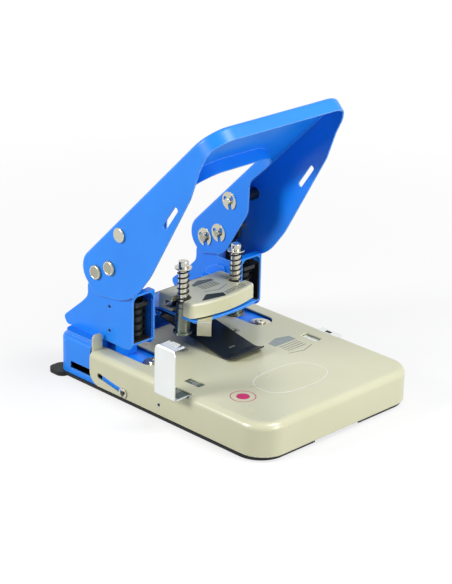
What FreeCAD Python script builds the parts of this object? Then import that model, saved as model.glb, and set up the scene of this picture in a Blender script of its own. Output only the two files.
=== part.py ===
# Heavy-duty two-hole paper drill: a wide lever handle presses two punches down through a stack of paper.
# Millimetres. +Z is up, -Y is the front (where the user stands), X runs across.
# The origin lies on the plane the drill rests on, midway between the two punches.
import FreeCAD, Part
import math
import os
import re

import Sketcher
from FreeCAD import Vector

doc = FreeCAD.newDocument("PaperDrill")

# ---------------------------------------------------------------- driving sizes

SIZES = {
    # sheet thicknesses and clearances
    "frame_sheet": 2.0,
    "table_sheet": 1.6,
    "handle_sheet": 1.8,
    "gauge_sheet": 1.4,
    "bridge_sheet": 2.4,
    "cover_wall": 1.6,
    "holder_sheet": 1.6,
    "clip_sheet": 0.8,
    "ring_sheet": 1.2,
    "running_gap": 0.3,
    "pin_fit": 0.05,
    # bottom cover
    "mat_half_width": 118.4,
    "mat_front": 197.5,
    "mat_rear": 122.5,
    "mat_corner": 30.0,
    "mat_rear_corner": 14.0,
    "mat_ear_inner": 100.0,
    "mat_ear_outer": 124.0,
    "mat_ear_front": 105.0,
    "mat_ear_rear": 130.5,
    "mat_ear_round": 9.0,
    "mat_lift": 2.0,
    "mat_top": 5.0,
    "mat_inset": 9.0,
    "mat_floor": 1.2,
    "mat_rim": 6.0,
    "finger_notch_left": 37.0,
    "finger_notch_right": 31.0,
    "finger_notch_depth": 4.0,
    # base frame
    "base_half_width": 116.0,
    "base_front": 197.0,
    "base_rear": 121.5,
    "base_corner": 27.0,
    "base_rear_corner": 16.0,
    "low_deck": 39.6,
    "high_deck": 52.2,
    "high_deck_front": 66.0,
    "deck_ledge": 48.8,
    "deck_ledge_width": 4.5,
    "deck_round": 6.0,
    "well_gap": 2.5,
    "pan_round": 6.0,
    "wall_slot_front": 46.0,
    "wall_slot_rear": 99.0,
    "wall_slot_low": 11.8,
    "wall_slot_high": 20.3,
    # table
    "table_half_width": 118.5,
    "table_front": 200.5,
    "table_rear": 64.3,
    "table_corner": 30.0,
    "table_top": 43.3,
    "table_bottom": 6.2,
    "table_round": 8.0,
    "skirt_round": 15.0,
    "bay_inner": 68.0,
    "bay_outer": 97.5,
    "bay_front": 12.0,
    "bay_round": 14.0,
    "tab_inner": 101.0,
    "tab_outer": 115.0,
    "tab_height": 18.0,
    "window_inner": 84.5,
    "window_outer": 95.5,
    "window_near": 59.0,
    "window_far": 83.0,
    "edge_notch_depth": 7.0,
    "edge_notch_low": 38.6,
    # table cross pin
    "cross_pin_y": 9.0,
    "cross_pin_z": 12.5,
    "cross_pin_radius": 2.5,
    "cross_clip_radius": 5.8,
    "draw_slot_rear_y": 48.4,
    "draw_slot_rear_z": 19.1,
    "draw_slot_width": 6.0,
    "wall_hole_y": 46.7,
    "wall_hole_z": 17.5,
    "wall_hole_radius": 2.0,
    # dies and deck bolts
    "punch_spacing": 80.0,
    "die_bar_half_length": 92.0,
    "die_bar_half_width": 12.0,
    "die_bar_thick": 12.0,
    "die_radius": 8.0,
    "die_neck_radius": 6.0,
    "die_seat": 4.0,
    "hole_radius": 3.0,
    "deck_bolt_x": 82.0,
    "deck_bolt_radius": 4.0,
    "deck_washer_radius": 12.2,
    "deck_washer_thick": 1.5,
    "deck_head_radius": 6.5,
    "deck_head_height": 2.2,
    # paper gauge
    "gauge_near": 57.5,
    "gauge_far": 88.0,
    "gauge_left": 135.0,
    "gauge_right": 124.0,
    "gauge_top": 97.5,
    "gauge_lip": 17.0,
    "gauge_round": 6.5,
    # uprights
    "upright_outer": 98.5,
    "upright_inner": 66.0,
    "upright_front": 17.0,
    "upright_rear": 89.3,
    "upright_tail": 130.5,
    "box_top": 116.3,
    "box_floor": 60.3,
    "box_strap": 9.0,
    "box_bend": 7.0,
    "box_floor_rear": 55.0,
    "saddle": 109.5,
    "neck_radius": 14.0,
    "foot_front": 84.0,
    "foot_bolt_front": 94.0,
    "foot_bolt_rear": 112.0,
    "foot_bolt_radius": 3.0,
    "plate_hole_y": 54.0,
    "plate_hole_low": 65.7,
    "plate_hole_high": 94.0,
    "plate_hole_radius": 2.2,
    "spacer_front": 36.0,
    "spacer_rear": 54.0,
    "spacer_half_width": 9.0,
    # handle, with its corners given along (u) and square to (n) the lever, from the pivot
    "pivot_y": 70.3,
    "pivot_z": 130.3,
    "lever_angle": 44.5,
    "handle_half_width": 102.5,
    "handle_reach": 258.8,
    "handle_heel": 23.3,
    "handle_corner": 30.0,
    "handle_top": 25.0,
    "handle_fold": 4.0,
    "handle_opening_half": 61.0,
    "handle_opening_reach": 171.3,
    "handle_opening_corner": 36.0,
    "handle_heel_round": 22.5,
    "lobe_u": 25.3,
    "lobe_n": 52.5,
    "lobe_round": 60.0,
    "flank_u": 73.3,
    "flank_n": 46.5,
    "step_low_u": 186.9,
    "step_low_n": 14.7,
    "step_high_u": 217.3,
    "step_high_n": 0.5,
    "crossbar_edge": 8.5,
    "hang_slot_near": 133.3,
    "hang_slot_far": 160.3,
    "hang_slot_near_n": 17.0,
    "hang_slot_far_n": 12.0,
    "hang_slot_width": 6.0,
    "drive_u": 23.3,
    "drive_n": 7.5,
    "spacer_u": 64.3,
    "spacer_n": 11.4,
    # pins of the handle
    "pivot_radius": 5.0,
    "drive_radius": 4.0,
    "upper_radius": 4.0,
    "pin_head_radius": 8.25,
    "pin_head_thick": 3.0,
    "pin_tail": 4.5,
    "pin_clip_radius": 10.6,
    "clip_groove": 0.8,
    "clip_window": 2.2,
    "clip_opening_turn": 30.0,
    "tube_radius": 7.0,
    # crosshead
    "stroke": 24.5,
    "bar_front": 66.0,
    "bar_rear": 73.0,
    "bar_low": 70.6,
    "bar_high": 81.6,
    "bar_slot_gap": 0.5,
    "yoke_inner": 80.0,
    "yoke_thick": 5.0,
    "yoke_front": 36.5,
    "yoke_rear": 59.0,
    "yoke_low": 133.0,
    "yoke_high": 149.6,
    "yoke_slot_front": 40.8,
    "yoke_slot_rear": 54.8,
    "yoke_slot_gap": 0.4,
    "yoke_leg_front": 44.0,
    "yoke_leg_rear": 56.0,
    "yoke_run_low": 87.5,
    "yoke_run_high": 100.0,
    "yoke_drop_front": 58.5,
    "spring_seat_front": 19.0,
    "spring_seat_low": 100.0,
    "spring_seat_thick": 4.0,
    "arm_inner": 25.7,
    "arm_thick": 3.0,
    "arm_front": 4.0,
    "arm_riser_front": 19.5,
    "arm_riser_rear": 29.5,
    "arm_low": 90.5,
    "arm_high": 98.5,
    "arm_gap": 0.4,
    "yoke_screw_radius": 2.5,
    "yoke_screw_head": 2.5,
    # bridge and head
    "bridge_top": 86.4,
    "bridge_half_width": 46.5,
    "bridge_side": 27.0,
    "bridge_nose": 35.2,
    "bridge_nose_round": 244.0,
    "bridge_waist": 32.0,
    "bridge_shoulder": 41.0,
    "bridge_rear": 70.5,
    "tongue_rear": 62.0,
    "tongue_half_width": 25.2,
    "flange_top": 101.0,
    "flange_slope_run": 16.0,
    "flange_slope_drop": 9.0,
    "ear_inner": 22.0,
    "ear_thick": 2.0,
    "holder_pin_y": 58.0,
    "holder_pin_z": 67.0,
    "holder_pin_radius": 2.0,
    "cover_low": 88.2,
    "cover_top": 105.0,
    "cover_half_width": 48.5,
    "cover_side": 21.5,
    "cover_nose": 35.9,
    "cover_nose_round": 150.0,
    "cover_rear": 32.0,
    "cover_corner": 5.0,
    "cover_round": 3.0,
    "cover_notch": 31.0,
    "cover_notch_half": 9.2,
    "cover_boss_radius": 4.0,
    "side_port_rear": 20.0,
    "side_port_low": 91.5,
    "side_port_high": 99.0,
    # punches
    "sleeve_radius": 8.25,
    "sleeve_low": 63.5,
    "sleeve_top": 99.5,
    "sleeve_neck_radius": 7.2,
    "sleeve_neck_low": 94.0,
    "sleeve_flange_radius": 10.6,
    "sleeve_flange_thick": 3.2,
    "rod_radius": 5.5,
    "rod_top": 147.5,
    "rod_shoulder": 91.5,
    "tip_z": 64.5,
    "rod_fit": 0.1,
    "rod_clip_z": 139.3,
    "rod_clip_radius": 9.5,
    "rod_groove": 1.0,
    "link_pin_radius": 2.0,
    "link_pin_z": 95.0,
    "link_slot_width": 4.6,
    "punch_spring_radius": 6.95,
    "punch_wire": 1.3,
    "punch_coils": 7.0,
    "return_spring_y": 29.0,
    "return_spring_radius": 10.0,
    "return_wire": 2.2,
    "return_coils": 4.5,
    "guide_wall": 1.5,
    "guide_front": 18.0,
    "guide_rear": 50.0,
    "guide_floor_rear": 38.5,
    "guide_high": 106.0,
    "guide_post_radius": 7.0,
    "guide_post_top": 99.0,
    "guide_post_gap": 0.4,
    # paper holder
    "holder_half_width": 25.0,
    "holder_barrel": 4.0,
    "holder_bend_y": 52.0,
    "holder_bend_drop": 1.2,
    "holder_bend_round": 25.0,
    "holder_lip_y": 66.0,
    "holder_lip_rise": 7.6,
    # front clip
    "clip_half_width": 7.75,
    "clip_turn": 50.0,
    "clip_root": 30.0,
    "clip_reach": 52.0,
    "clip_low": 70.4,
}

sheet = doc.addObject("Spreadsheet::Sheet", "Sizes")
for row, (alias, number) in enumerate(SIZES.items(), start=1):
    sheet.set(f"A{row}", alias)
    sheet.set(f"B{row}", str(number))
    sheet.setAlias(f"B{row}", alias)
doc.recompute()


# ---------------------------------------------------------------- helpers

def bound(text):
    """An expression over the sheet, from a formula that uses the sizes' own names."""
    return re.sub(r"[a-z_]+", lambda word: "Sizes." + word[0] if word[0] in SIZES else word[0], str(text))


def value(text):
    """The number that a formula gives with the present sizes."""
    return float(sheet.evalExpression(bound(text)))


def new_body(name):
    body = doc.addObject("PartDesign::Body", name)
    body.Label = name
    body.AllowCompound = True
    return body


def place(item, x="0", y="0", z="0", tilt=None, turn=None):
    """Puts a sub-part at a point given by formulas; tilt turns it about the X axis, turn about Z."""
    for axis, formula in zip("xyz", (x, y, z)):
        item.setExpression(f"Placement.Base.{axis}", bound(formula))
    angle = tilt if turn is None else turn
    if angle is not None:
        about = Vector(1, 0, 0) if turn is None else Vector(0, 0, 1)
        item.Placement = FreeCAD.Placement(Vector(0, 0, 0), FreeCAD.Rotation(about, value(angle)))
        item.setExpression("Placement.Rotation.Angle", bound(angle))
    return item


def new_sketch(body, name, plane, height):
    sketch = body.newObject("Sketcher::SketchObject", name)
    roles = {feature.Role: feature for feature in body.Origin.OriginFeatures}
    sketch.AttachmentSupport = (roles[plane + "_Plane"], "")
    sketch.MapMode = "FlatFace"
    sketch.setExpression("AttachmentOffset.Base.z", bound(height))
    return sketch


def pin_point(sketch, geometry, position, x, y):
    """Ties a point of the sketch to formulas for its two coordinates."""
    for kind, formula in (("DistanceX", x), ("DistanceY", y)):
        number = value(formula)
        index = sketch.addConstraint(Sketcher.Constraint(kind, -1, 1, geometry, position, number))
        sketch.setExpression(f"Constraints[{index}]", bound(formula))


def corner_arc(before, corner, after, radius):
    """Tangent points and centre of the arc that rounds one corner of an outline."""
    towards = (before - corner).normalize()
    away = (after - corner).normalize()
    half = math.acos(max(-1.0, min(1.0, towards.dot(away)))) / 2
    run = radius / math.tan(half)
    centre = corner + (towards + away).normalize() * (radius / math.sin(half))
    return corner + towards * run, corner + away * run, centre


def outline(sketch, corners):
    """Closed outline through the corners (x, y) or (x, y, radius); a radius rounds its corner."""
    points = [Vector(value(corner[0]), value(corner[1]), 0) for corner in corners]
    count = len(corners)
    ends = []
    for index, corner in enumerate(corners):
        point = points[index]
        if len(corner) == 2:
            ends.append((point, point, None))
        else:
            ends.append(corner_arc(points[index - 1], point, points[(index + 1) % count], value(corner[2])))
    for index in range(count):
        sketch.addGeometry(Part.LineSegment(ends[index][1], ends[(index + 1) % count][0]), False)
    for index, corner in enumerate(corners):
        line_in = (index - 1) % count
        if len(corner) == 2:
            sketch.addConstraint(Sketcher.Constraint("Coincident", line_in, 2, index, 1))
            pin_point(sketch, index, 1, corner[0], corner[1])
            continue
        start, stop, centre = ends[index]
        left_turn = (points[index] - start).cross(stop - points[index]).z > 0
        first, last = (start, stop) if left_turn else (stop, start)
        circle = Part.Circle(centre, Vector(0, 0, 1), value(corner[2]))
        arc = sketch.addGeometry(Part.ArcOfCircle(circle, circle.parameter(first), circle.parameter(last)), False)
        mark = sketch.addGeometry(Part.Point(points[index]), True)
        sketch.addConstraint([
            Sketcher.Constraint("Tangent", line_in, 2, arc, 1 if left_turn else 2),
            Sketcher.Constraint("Tangent", arc, 2 if left_turn else 1, index, 1),
            Sketcher.Constraint("PointOnObject", mark, 1, line_in),
            Sketcher.Constraint("PointOnObject", mark, 1, index)])
        pin_point(sketch, mark, 1, corner[0], corner[1])
        radius = sketch.addConstraint(Sketcher.Constraint("Radius", arc, value(corner[2])))
        sketch.setExpression(f"Constraints[{radius}]", bound(corner[2]))


def circles(sketch, centres, radius):
    for x, y in centres:
        circle = Part.Circle(Vector(value(x), value(y), 0), Vector(0, 0, 1), value(radius))
        index = sketch.addGeometry(circle, False)
        pin_point(sketch, index, 3, x, y)
        size = sketch.addConstraint(Sketcher.Constraint("Radius", index, value(radius)))
        sketch.setExpression(f"Constraints[{size}]", bound(radius))


def extrude(body, name, sketch, length, cut):
    """Pads or pockets along the sketch's normal; a pocket that removes nothing is an error."""
    before = body.Shape.Volume if cut else 0
    feature = body.newObject("PartDesign::Pocket" if cut else "PartDesign::Pad", name)
    feature.Profile = sketch
    feature.Reversed = cut
    feature.setExpression("Length", bound(length))
    doc.recompute()
    if cut and body.Shape.Volume > before - 1e-6:
        raise ValueError(f"{body.Label}: {name} cuts nothing")
    return feature


def slab_sketch(body, name, plane, start, end):
    """A sketch placed so that extruding along its normal fills start to end on the plane's axis."""
    height = f"-({end})" if plane == "XZ" else start
    return new_sketch(body, name + "_sketch", plane, height)


def slab(body, name, plane, corners, start, end, cut=False):
    """Adds or cuts the outline in a plane, from start to end along the axis square to it."""
    sketch = slab_sketch(body, name, plane, start, end)
    outline(sketch, corners)
    return extrude(body, name, sketch, f"({end}) - ({start})", cut)


def rounds(body, name, plane, centres, radius, start, end, cut=False):
    """Adds or cuts round pegs or holes, from start to end along the axis square to the plane."""
    sketch = slab_sketch(body, name, plane, start, end)
    circles(sketch, centres, radius)
    return extrude(body, name, sketch, f"({end}) - ({start})", cut)


def rectangle(x_low, x_high, y_low, y_high, radius=None):
    points = [(x_low, y_low), (x_high, y_low), (x_high, y_high), (x_low, y_high)]
    return [point if radius is None else (*point, radius) for point in points]


def slot_outline(x_start, y_start, x_end, y_end, width):
    """A straight slot between two centres, its ends rounded, lying mostly along the sketch's x."""
    run = f"sqrt((({x_end}) - ({x_start}))^2 + (({y_end}) - ({y_start}))^2)"
    cos = f"((({x_end}) - ({x_start})) / {run})"
    sin = f"((({y_end}) - ({y_start})) / {run})"
    half = f"({width}) / 2"
    corners = []
    for x, y, along, across in ((x_start, y_start, -1, -1), (x_end, y_end, 1, -1),
                                (x_end, y_end, 1, 1), (x_start, y_start, -1, 1)):
        corners.append((f"{x} + ({along}) * {half} * {cos} - ({across}) * {half} * {sin}",
                        f"{y} + ({along}) * {half} * {sin} + ({across}) * {half} * {cos}",
                        f"({width}) * 0.49"))
    return corners


def fillet(body, name, radius, wanted):
    """Rounds the edges of the body for which wanted(edge) holds."""
    doc.recompute()
    base = body.Tip
    names = [f"Edge{index}" for index, edge in enumerate(base.Shape.Edges, start=1) if wanted(edge)]
    feature = body.newObject("PartDesign::Fillet", name)
    feature.Base = (base, names)
    feature.setExpression("Radius", bound(radius))
    doc.recompute()
    if "Invalid" in feature.State:
        raise ValueError(f"{body.Label}: {name} can't round {names}")
    return feature


def turned(name, corners, axis="X"):
    """A turned piece from its half profile (along, radius), about the X or the Z axis."""
    body = new_body(name)
    sketch = new_sketch(body, name + "_profile", "XY" if axis == "X" else "XZ", "0")
    if axis == "X":
        outline(sketch, corners)
    else:
        outline(sketch, [(radius, along, *rest) for along, radius, *rest in corners])
    feature = body.newObject("PartDesign::Revolution", name + "_turned")
    feature.Profile = sketch
    feature.ReferenceAxis = (sketch, ["H_Axis" if axis == "X" else "V_Axis"])
    feature.Angle = 360
    doc.recompute()
    return body


def at_height(edge, height, tolerance=0.01):
    return all(abs(vertex.Z - height) < tolerance for vertex in edge.Vertexes)


# Heights and places that several pieces share.
TABLE_UNDER = "(table_top - table_sheet)"
PUNCH_X = "(punch_spacing / 2)"
DRIVE_Y = "(pivot_y - drive_u * cos(lever_angle) - drive_n * sin(lever_angle))"
DRIVE_Z = "(pivot_z + drive_u * sin(lever_angle) - drive_n * cos(lever_angle))"
WELL_HALF = "(yoke_inner + yoke_thick + yoke_screw_head + well_gap)"
WELL_REAR = "(bar_rear + well_gap)"
SIDES = (("left", -1), ("right", 1))


# ---------------------------------------------------------------- base, covered below by a chip tray

def mat_outline(inset):
    side, front, rear = f"(mat_half_width - {inset})", f"-(mat_front - {inset})", f"(mat_rear - {inset})"
    return [(f"-{side}", front, f"mat_corner - {inset}"), (side, front, f"mat_corner - {inset}"),
            (side, rear, f"mat_rear_corner - {inset}"), (f"-{side}", rear, f"mat_rear_corner - {inset}")]


def make_bottom_cover():
    """Black tray that closes the frame below: inset sole, rim the frame stands on, finger notch, two ears."""
    body = new_body("bottom_cover")
    slab(body, "sole", "XY", mat_outline("mat_inset"), "0", "mat_top")
    slab(body, "rim", "XY", mat_outline("0"), "mat_lift", "mat_top")
    slab(body, "hollow", "XY", mat_outline("(mat_rim + frame_sheet)"), "mat_lift + mat_floor", "mat_top", cut=True)
    notch = rectangle("-finger_notch_left", "finger_notch_right", "-mat_front - 1",
                      "-mat_front + finger_notch_depth")
    slab(body, "finger_notch", "XY", notch, "mat_lift", "mat_top", cut=True)
    for name, side in SIDES:
        ear = rectangle(f"{side} * mat_ear_inner", f"{side} * mat_ear_outer", "mat_ear_front", "mat_ear_rear",
                        "mat_ear_round")
        slab(body, f"ear_{name}", "XY", ear, "0", "mat_top")
    return body


def frame_outline(inset, rear):
    side, front = f"(base_half_width - {inset})", f"-(base_front - {inset})"
    round_front = f"base_corner - {inset}"
    return [(f"-{side}", front, round_front), (side, front, round_front),
            (side, rear, f"base_rear_corner - {inset}"), (f"-{side}", rear, f"base_rear_corner - {inset}")]


def under_deck(side, rear, corner):
    """Plan of the space under the high deck, which passes behind the crosshead's well."""
    front = "(high_deck_front + frame_sheet)"
    past_well = f"({WELL_HALF} + frame_sheet)"
    behind_well = f"({WELL_REAR} + frame_sheet)"
    return [(f"-{side}", front), (f"-{past_well}", front), (f"-{past_well}", behind_well),
            (past_well, behind_well), (past_well, front), (side, front), (side, rear, corner),
            (f"-{side}", rear, corner)]


def make_base_frame():
    """Blue pressed pan: a low deck under the table, and a stepped high deck with the crosshead's well behind."""
    body = new_body("base_frame")
    slab(body, "low_deck", "XY", frame_outline("0", "base_rear"), "mat_top", "low_deck")
    fillet(body, "pan_edge", "pan_round", lambda edge: at_height(edge, value("low_deck")))
    slab(body, "pan", "XY", frame_outline("frame_sheet", "base_rear - frame_sheet"),
         "mat_top - 1", "low_deck - frame_sheet", cut=True)
    fillet(body, "pan_inner_edge", "pan_round - frame_sheet",
           lambda edge: at_height(edge, value("low_deck - frame_sheet")))
    side, rear = "base_half_width", "base_rear"
    ledge = [(f"-{side}", "high_deck_front"), (side, "high_deck_front"), (side, rear, "base_rear_corner"),
             (f"-{side}", rear, "base_rear_corner")]
    slab(body, "deck_ledge", "XY", ledge, "low_deck - pan_round - frame_sheet", "deck_ledge")
    fillet(body, "deck_shoulder", "deck_round",
           lambda edge: (at_height(edge, value("deck_ledge"))
                         and edge.CenterOfMass.y > value("high_deck_front") + 1))
    deck_side = "(base_half_width - deck_ledge_width)"
    deck_rear = "(base_rear - deck_ledge_width)"
    deck_corner = "(base_rear_corner - deck_ledge_width)"
    high_deck = [(f"-{deck_side}", "high_deck_front"), (deck_side, "high_deck_front"),
                 (deck_side, deck_rear, deck_corner), (f"-{deck_side}", deck_rear, deck_corner)]
    slab(body, "high_deck", "XY", high_deck, "deck_ledge - deck_round", "high_deck")
    slab(body, "ledge_pan", "XY",
         under_deck(f"({side} - frame_sheet)", f"({rear} - frame_sheet)", "base_rear_corner - frame_sheet"),
         "low_deck - pan_round - 2 * frame_sheet", "deck_ledge - frame_sheet", cut=True)
    fillet(body, "shoulder_inner", "deck_round - frame_sheet",
           lambda edge: at_height(edge, value("deck_ledge - frame_sheet")) and (
               edge.CenterOfMass.y > value(WELL_REAR) + 5 or abs(edge.CenterOfMass.x) > value(side) - 3))
    slab(body, "deck_pan", "XY",
         under_deck(f"({deck_side} - frame_sheet)", f"({deck_rear} - frame_sheet)",
                    f"{deck_corner} - frame_sheet"),
         "low_deck - 2 * frame_sheet", "high_deck - frame_sheet", cut=True)
    slab(body, "well", "XY", rectangle(f"-{WELL_HALF}", WELL_HALF, "high_deck_front - 1", WELL_REAR),
         "low_deck", "high_deck + 1", cut=True)
    wall_slot = rectangle("wall_slot_front", "wall_slot_rear", "wall_slot_low", "wall_slot_high", "1")
    slab(body, "wall_slots", "YZ", wall_slot, "-base_half_width - 1", "base_half_width + 1", cut=True)
    rounds(body, "cross_pin_holes", "YZ", [("cross_pin_y", "cross_pin_z")], "cross_pin_radius",
           "-base_half_width - 1", "base_half_width + 1", cut=True)
    dies = [(f"-{PUNCH_X}", "0"), (PUNCH_X, "0")]
    rounds(body, "die_holes", "XY", dies, "die_radius", "low_deck - frame_sheet - 1", "low_deck + 1", cut=True)
    bolts = [("-deck_bolt_x", "0"), ("deck_bolt_x", "0")]
    spacers = [(f"{side} * deck_bolt_x", "(spacer_front + spacer_rear) / 2") for _, side in SIDES]
    rounds(body, "deck_bolt_holes", "XY", bolts, "deck_bolt_radius",
           "low_deck - frame_sheet - 1", "low_deck + 1", cut=True)
    feet = [(f"{side} * deck_bolt_x", y) for _, side in SIDES for y in ("foot_bolt_front", "foot_bolt_rear")]
    rounds(body, "foot_bolt_holes", "XY", feet + spacers, "foot_bolt_radius",
           "low_deck - frame_sheet - 1", "high_deck + 1", cut=True)
    return body


# ---------------------------------------------------------------- table

def table_outline(inset, rear):
    side, front = f"(table_half_width - {inset})", f"-(table_front - {inset})"
    return [(f"-{side}", rear), (f"-{side}", front, f"table_corner - {inset}"),
            (side, front, f"table_corner - {inset}"), (side, rear)]


def make_table_top():
    """Cream drawn lid over the low deck, with soft edges, two open bays behind and slotted skirts."""
    body = new_body("table_top")
    slab(body, "lid", "XY", table_outline("0", "table_rear"), "table_bottom", "table_top")
    slab(body, "inside", "XY", table_outline("table_sheet", "table_rear + 1"),
         "table_bottom - 1", TABLE_UNDER, cut=True)
    rear = value("table_rear")
    fillet(body, "inner_round", "table_round - table_sheet",
           lambda edge: at_height(edge, value(TABLE_UNDER)) and edge.CenterOfMass.y < rear - 1)
    fillet(body, "soft_edge", "table_round",
           lambda edge: at_height(edge, value("table_top")) and edge.CenterOfMass.y < rear - 1)
    for name, side in SIDES:
        inner, outer = f"{side} * bay_inner", f"{side} * bay_outer"
        bay = [(inner, "table_rear + 1"), (inner, "-bay_front", "bay_round"),
               (outer, "-bay_front", "bay_round"), (outer, "table_rear + 1")]
        slab(body, f"bay_{name}", "XY", bay, f"{TABLE_UNDER} - 1", "table_top + 1", cut=True)
        window = rectangle(f"{side} * window_inner", f"{side} * window_outer", "-window_far", "-window_near", "2")
        slab(body, f"scale_window_{name}", "XY", window, f"{TABLE_UNDER} - 1", "table_top + 1", cut=True)
        edge_notch = rectangle(f"{side} * (table_half_width - edge_notch_depth)",
                               f"{side} * (table_half_width + 1)", "-gauge_far - 2", "-gauge_near + 1")
        slab(body, f"edge_notch_{name}", "XY", edge_notch, "edge_notch_low", "table_top + 1", cut=True)
    middle = rectangle("-bay_inner - 1", "bay_inner + 1", "high_deck_front - 4", "table_rear + 1")
    slab(body, "rear_relief", "XY", middle, f"{TABLE_UNDER} - 1", "table_top + 1", cut=True)
    fillet(body, "skirt_heel", "skirt_round",
           lambda edge: at_height(edge, value("table_bottom")) and abs(edge.CenterOfMass.y - rear) < 0.01)
    draw_slot = slot_outline("cross_pin_y", "cross_pin_z", "draw_slot_rear_y", "draw_slot_rear_z",
                             "draw_slot_width")
    slab(body, "draw_slots", "YZ", draw_slot, "-table_half_width - 1", "table_half_width + 1", cut=True)
    rounds(body, "wall_holes", "YZ", [("-wall_hole_y", "wall_hole_z")], "wall_hole_radius",
           "-table_half_width - 1", "table_half_width + 1", cut=True)
    rounds(body, "punch_holes", "XY", [(f"-{PUNCH_X}", "0"), (PUNCH_X, "0")], "die_neck_radius + running_gap",
           f"{TABLE_UNDER} - 1", "table_top + 1", cut=True)
    for name, side in SIDES:
        tab = [(f"{side} * tab_inner", TABLE_UNDER), (f"{side} * tab_outer", TABLE_UNDER),
               (f"{side} * tab_outer", "table_top + tab_height", "5"),
               (f"{side} * tab_inner", "table_top + tab_height", "5")]
        slab(body, f"stop_tab_{name}", "XZ", tab, "table_rear - table_sheet", "table_rear")
    return body


def make_cross_pin():
    """Steel rod through the frame's walls; its ends ride in the skirts' slots when the table is drawn."""
    end = "(table_half_width + 2.5)"
    return place(turned("table_cross_pin", [(f"-{end}", "0"), (end, "0"), (end, "cross_pin_radius"),
                                            (f"-{end}", "cross_pin_radius")]),
                 y="cross_pin_y", z="cross_pin_z")


def make_rings(name, spots, inner, outer, low, high, plane):
    """Identical retaining rings or washers, each a flat ring round its own shaft."""
    body = new_body(name)
    sketch = slab_sketch(body, "rings", plane, low, high)
    circles(sketch, spots, outer)
    circles(sketch, spots, inner)
    extrude(body, "ring_set", sketch, f"({high}) - ({low})", False)
    return body


def make_e_rings(name, spots, start, end, turn):
    """E-shaped retaining rings on pins along X, from |X| = start to end, at spots (y, z, groove, outer)."""
    body = new_body(name)

    def spot_point(y, z, along, across):
        """A point so far towards the ring's opening, and so far square to that."""
        return (f"{y} + ({along}) * sin({turn}) + ({across}) * cos({turn})",
                f"{z} - ({along}) * cos({turn}) + ({across}) * sin({turn})")

    for side_name, side in SIDES:
        low, high = (start, end) if side > 0 else (f"-({end})", f"-({start})")
        for number, (y, z, groove, outer) in enumerate(spots):
            label = f"{number}_{side_name}"
            sketch = slab_sketch(body, f"ring_{label}", "YZ", low, high)
            circles(sketch, [(y, z)], outer)
            circles(sketch, [(y, z)], groove)
            extrude(body, f"disc_{label}", sketch, f"({high}) - ({low})", False)
            mouth = [spot_point(y, z, along, across) for along, across in (
                ("0", f"-0.8 * {groove}"), (f"{outer} + 1", f"-0.8 * {groove}"),
                (f"{outer} + 1", f"0.8 * {groove}"), ("0", f"0.8 * {groove}"))]
            slab(body, f"mouth_{label}", "YZ", mouth, low, high, cut=True)
            middle = f"(({groove} + {outer}) / 2 - clip_window / 2)"
            windows = [spot_point(y, z, f"-0.5 * {middle}", f"{way} * 0.87 * {middle}") for way in (-1, 1)]
            rounds(body, f"windows_{label}", "YZ", windows, f"({outer} - {groove}) * 0.36", low, high, cut=True)
    return body


# ---------------------------------------------------------------- dies and deck bolts

def make_die_bar():
    """Steel bar under the low deck that carries both dies and takes the two deck bolts."""
    body = new_body("die_bar")
    top = "(low_deck - frame_sheet)"
    bar = rectangle("-die_bar_half_length", "die_bar_half_length",
                    "-die_bar_half_width", "die_bar_half_width", "2")
    slab(body, "bar", "XY", bar, f"{top} - die_bar_thick", top)
    dies = [(f"-{PUNCH_X}", "0"), (PUNCH_X, "0")]
    rounds(body, "die_seats", "XY", dies, "die_radius", f"{top} - die_seat", f"{top} + 1", cut=True)
    rounds(body, "chip_holes", "XY", dies, "hole_radius + 1", f"{top} - die_bar_thick - 1", top, cut=True)
    rounds(body, "bolt_threads", "XY", [("-deck_bolt_x", "0"), ("deck_bolt_x", "0")], "deck_bolt_radius",
           f"{top} - die_bar_thick - 1", f"{top} + 1", cut=True)
    return body


def make_die(name, side):
    """Hardened die bush: it sits in the bar and its neck comes up flush with the table."""
    seat = "(low_deck - frame_sheet - die_seat)"
    bore = "(hole_radius + pin_fit)"
    profile = [(seat, bore), (seat, "die_radius"), ("table_top - table_sheet - running_gap", "die_radius"),
               ("table_top - table_sheet - running_gap", "die_neck_radius"), ("table_top", "die_neck_radius"),
               ("table_top", bore)]
    return place(turned(name, profile, axis="Z"), x=f"{side} * {PUNCH_X}")


def make_deck_bolts():
    """Two pan-head bolts that hold the die bar up against the low deck."""
    body = new_body("deck_bolts")
    spots = [("-deck_bolt_x", "0"), ("deck_bolt_x", "0")]
    seat = "(low_deck + deck_washer_thick)"
    rounds(body, "shanks", "XY", spots, "deck_bolt_radius", "low_deck - frame_sheet - die_bar_thick", seat)
    rounds(body, "heads", "XY", spots, "deck_head_radius", seat, f"{seat} + deck_head_height")
    fillet(body, "head_round", "0.8", lambda edge: at_height(edge, value(f"{seat} + deck_head_height")))
    rounds(body, "sockets", "XY", spots, "2.4", f"{seat} + 0.6", f"{seat} + deck_head_height + 1", cut=True)
    return body


# ---------------------------------------------------------------- paper gauge

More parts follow.
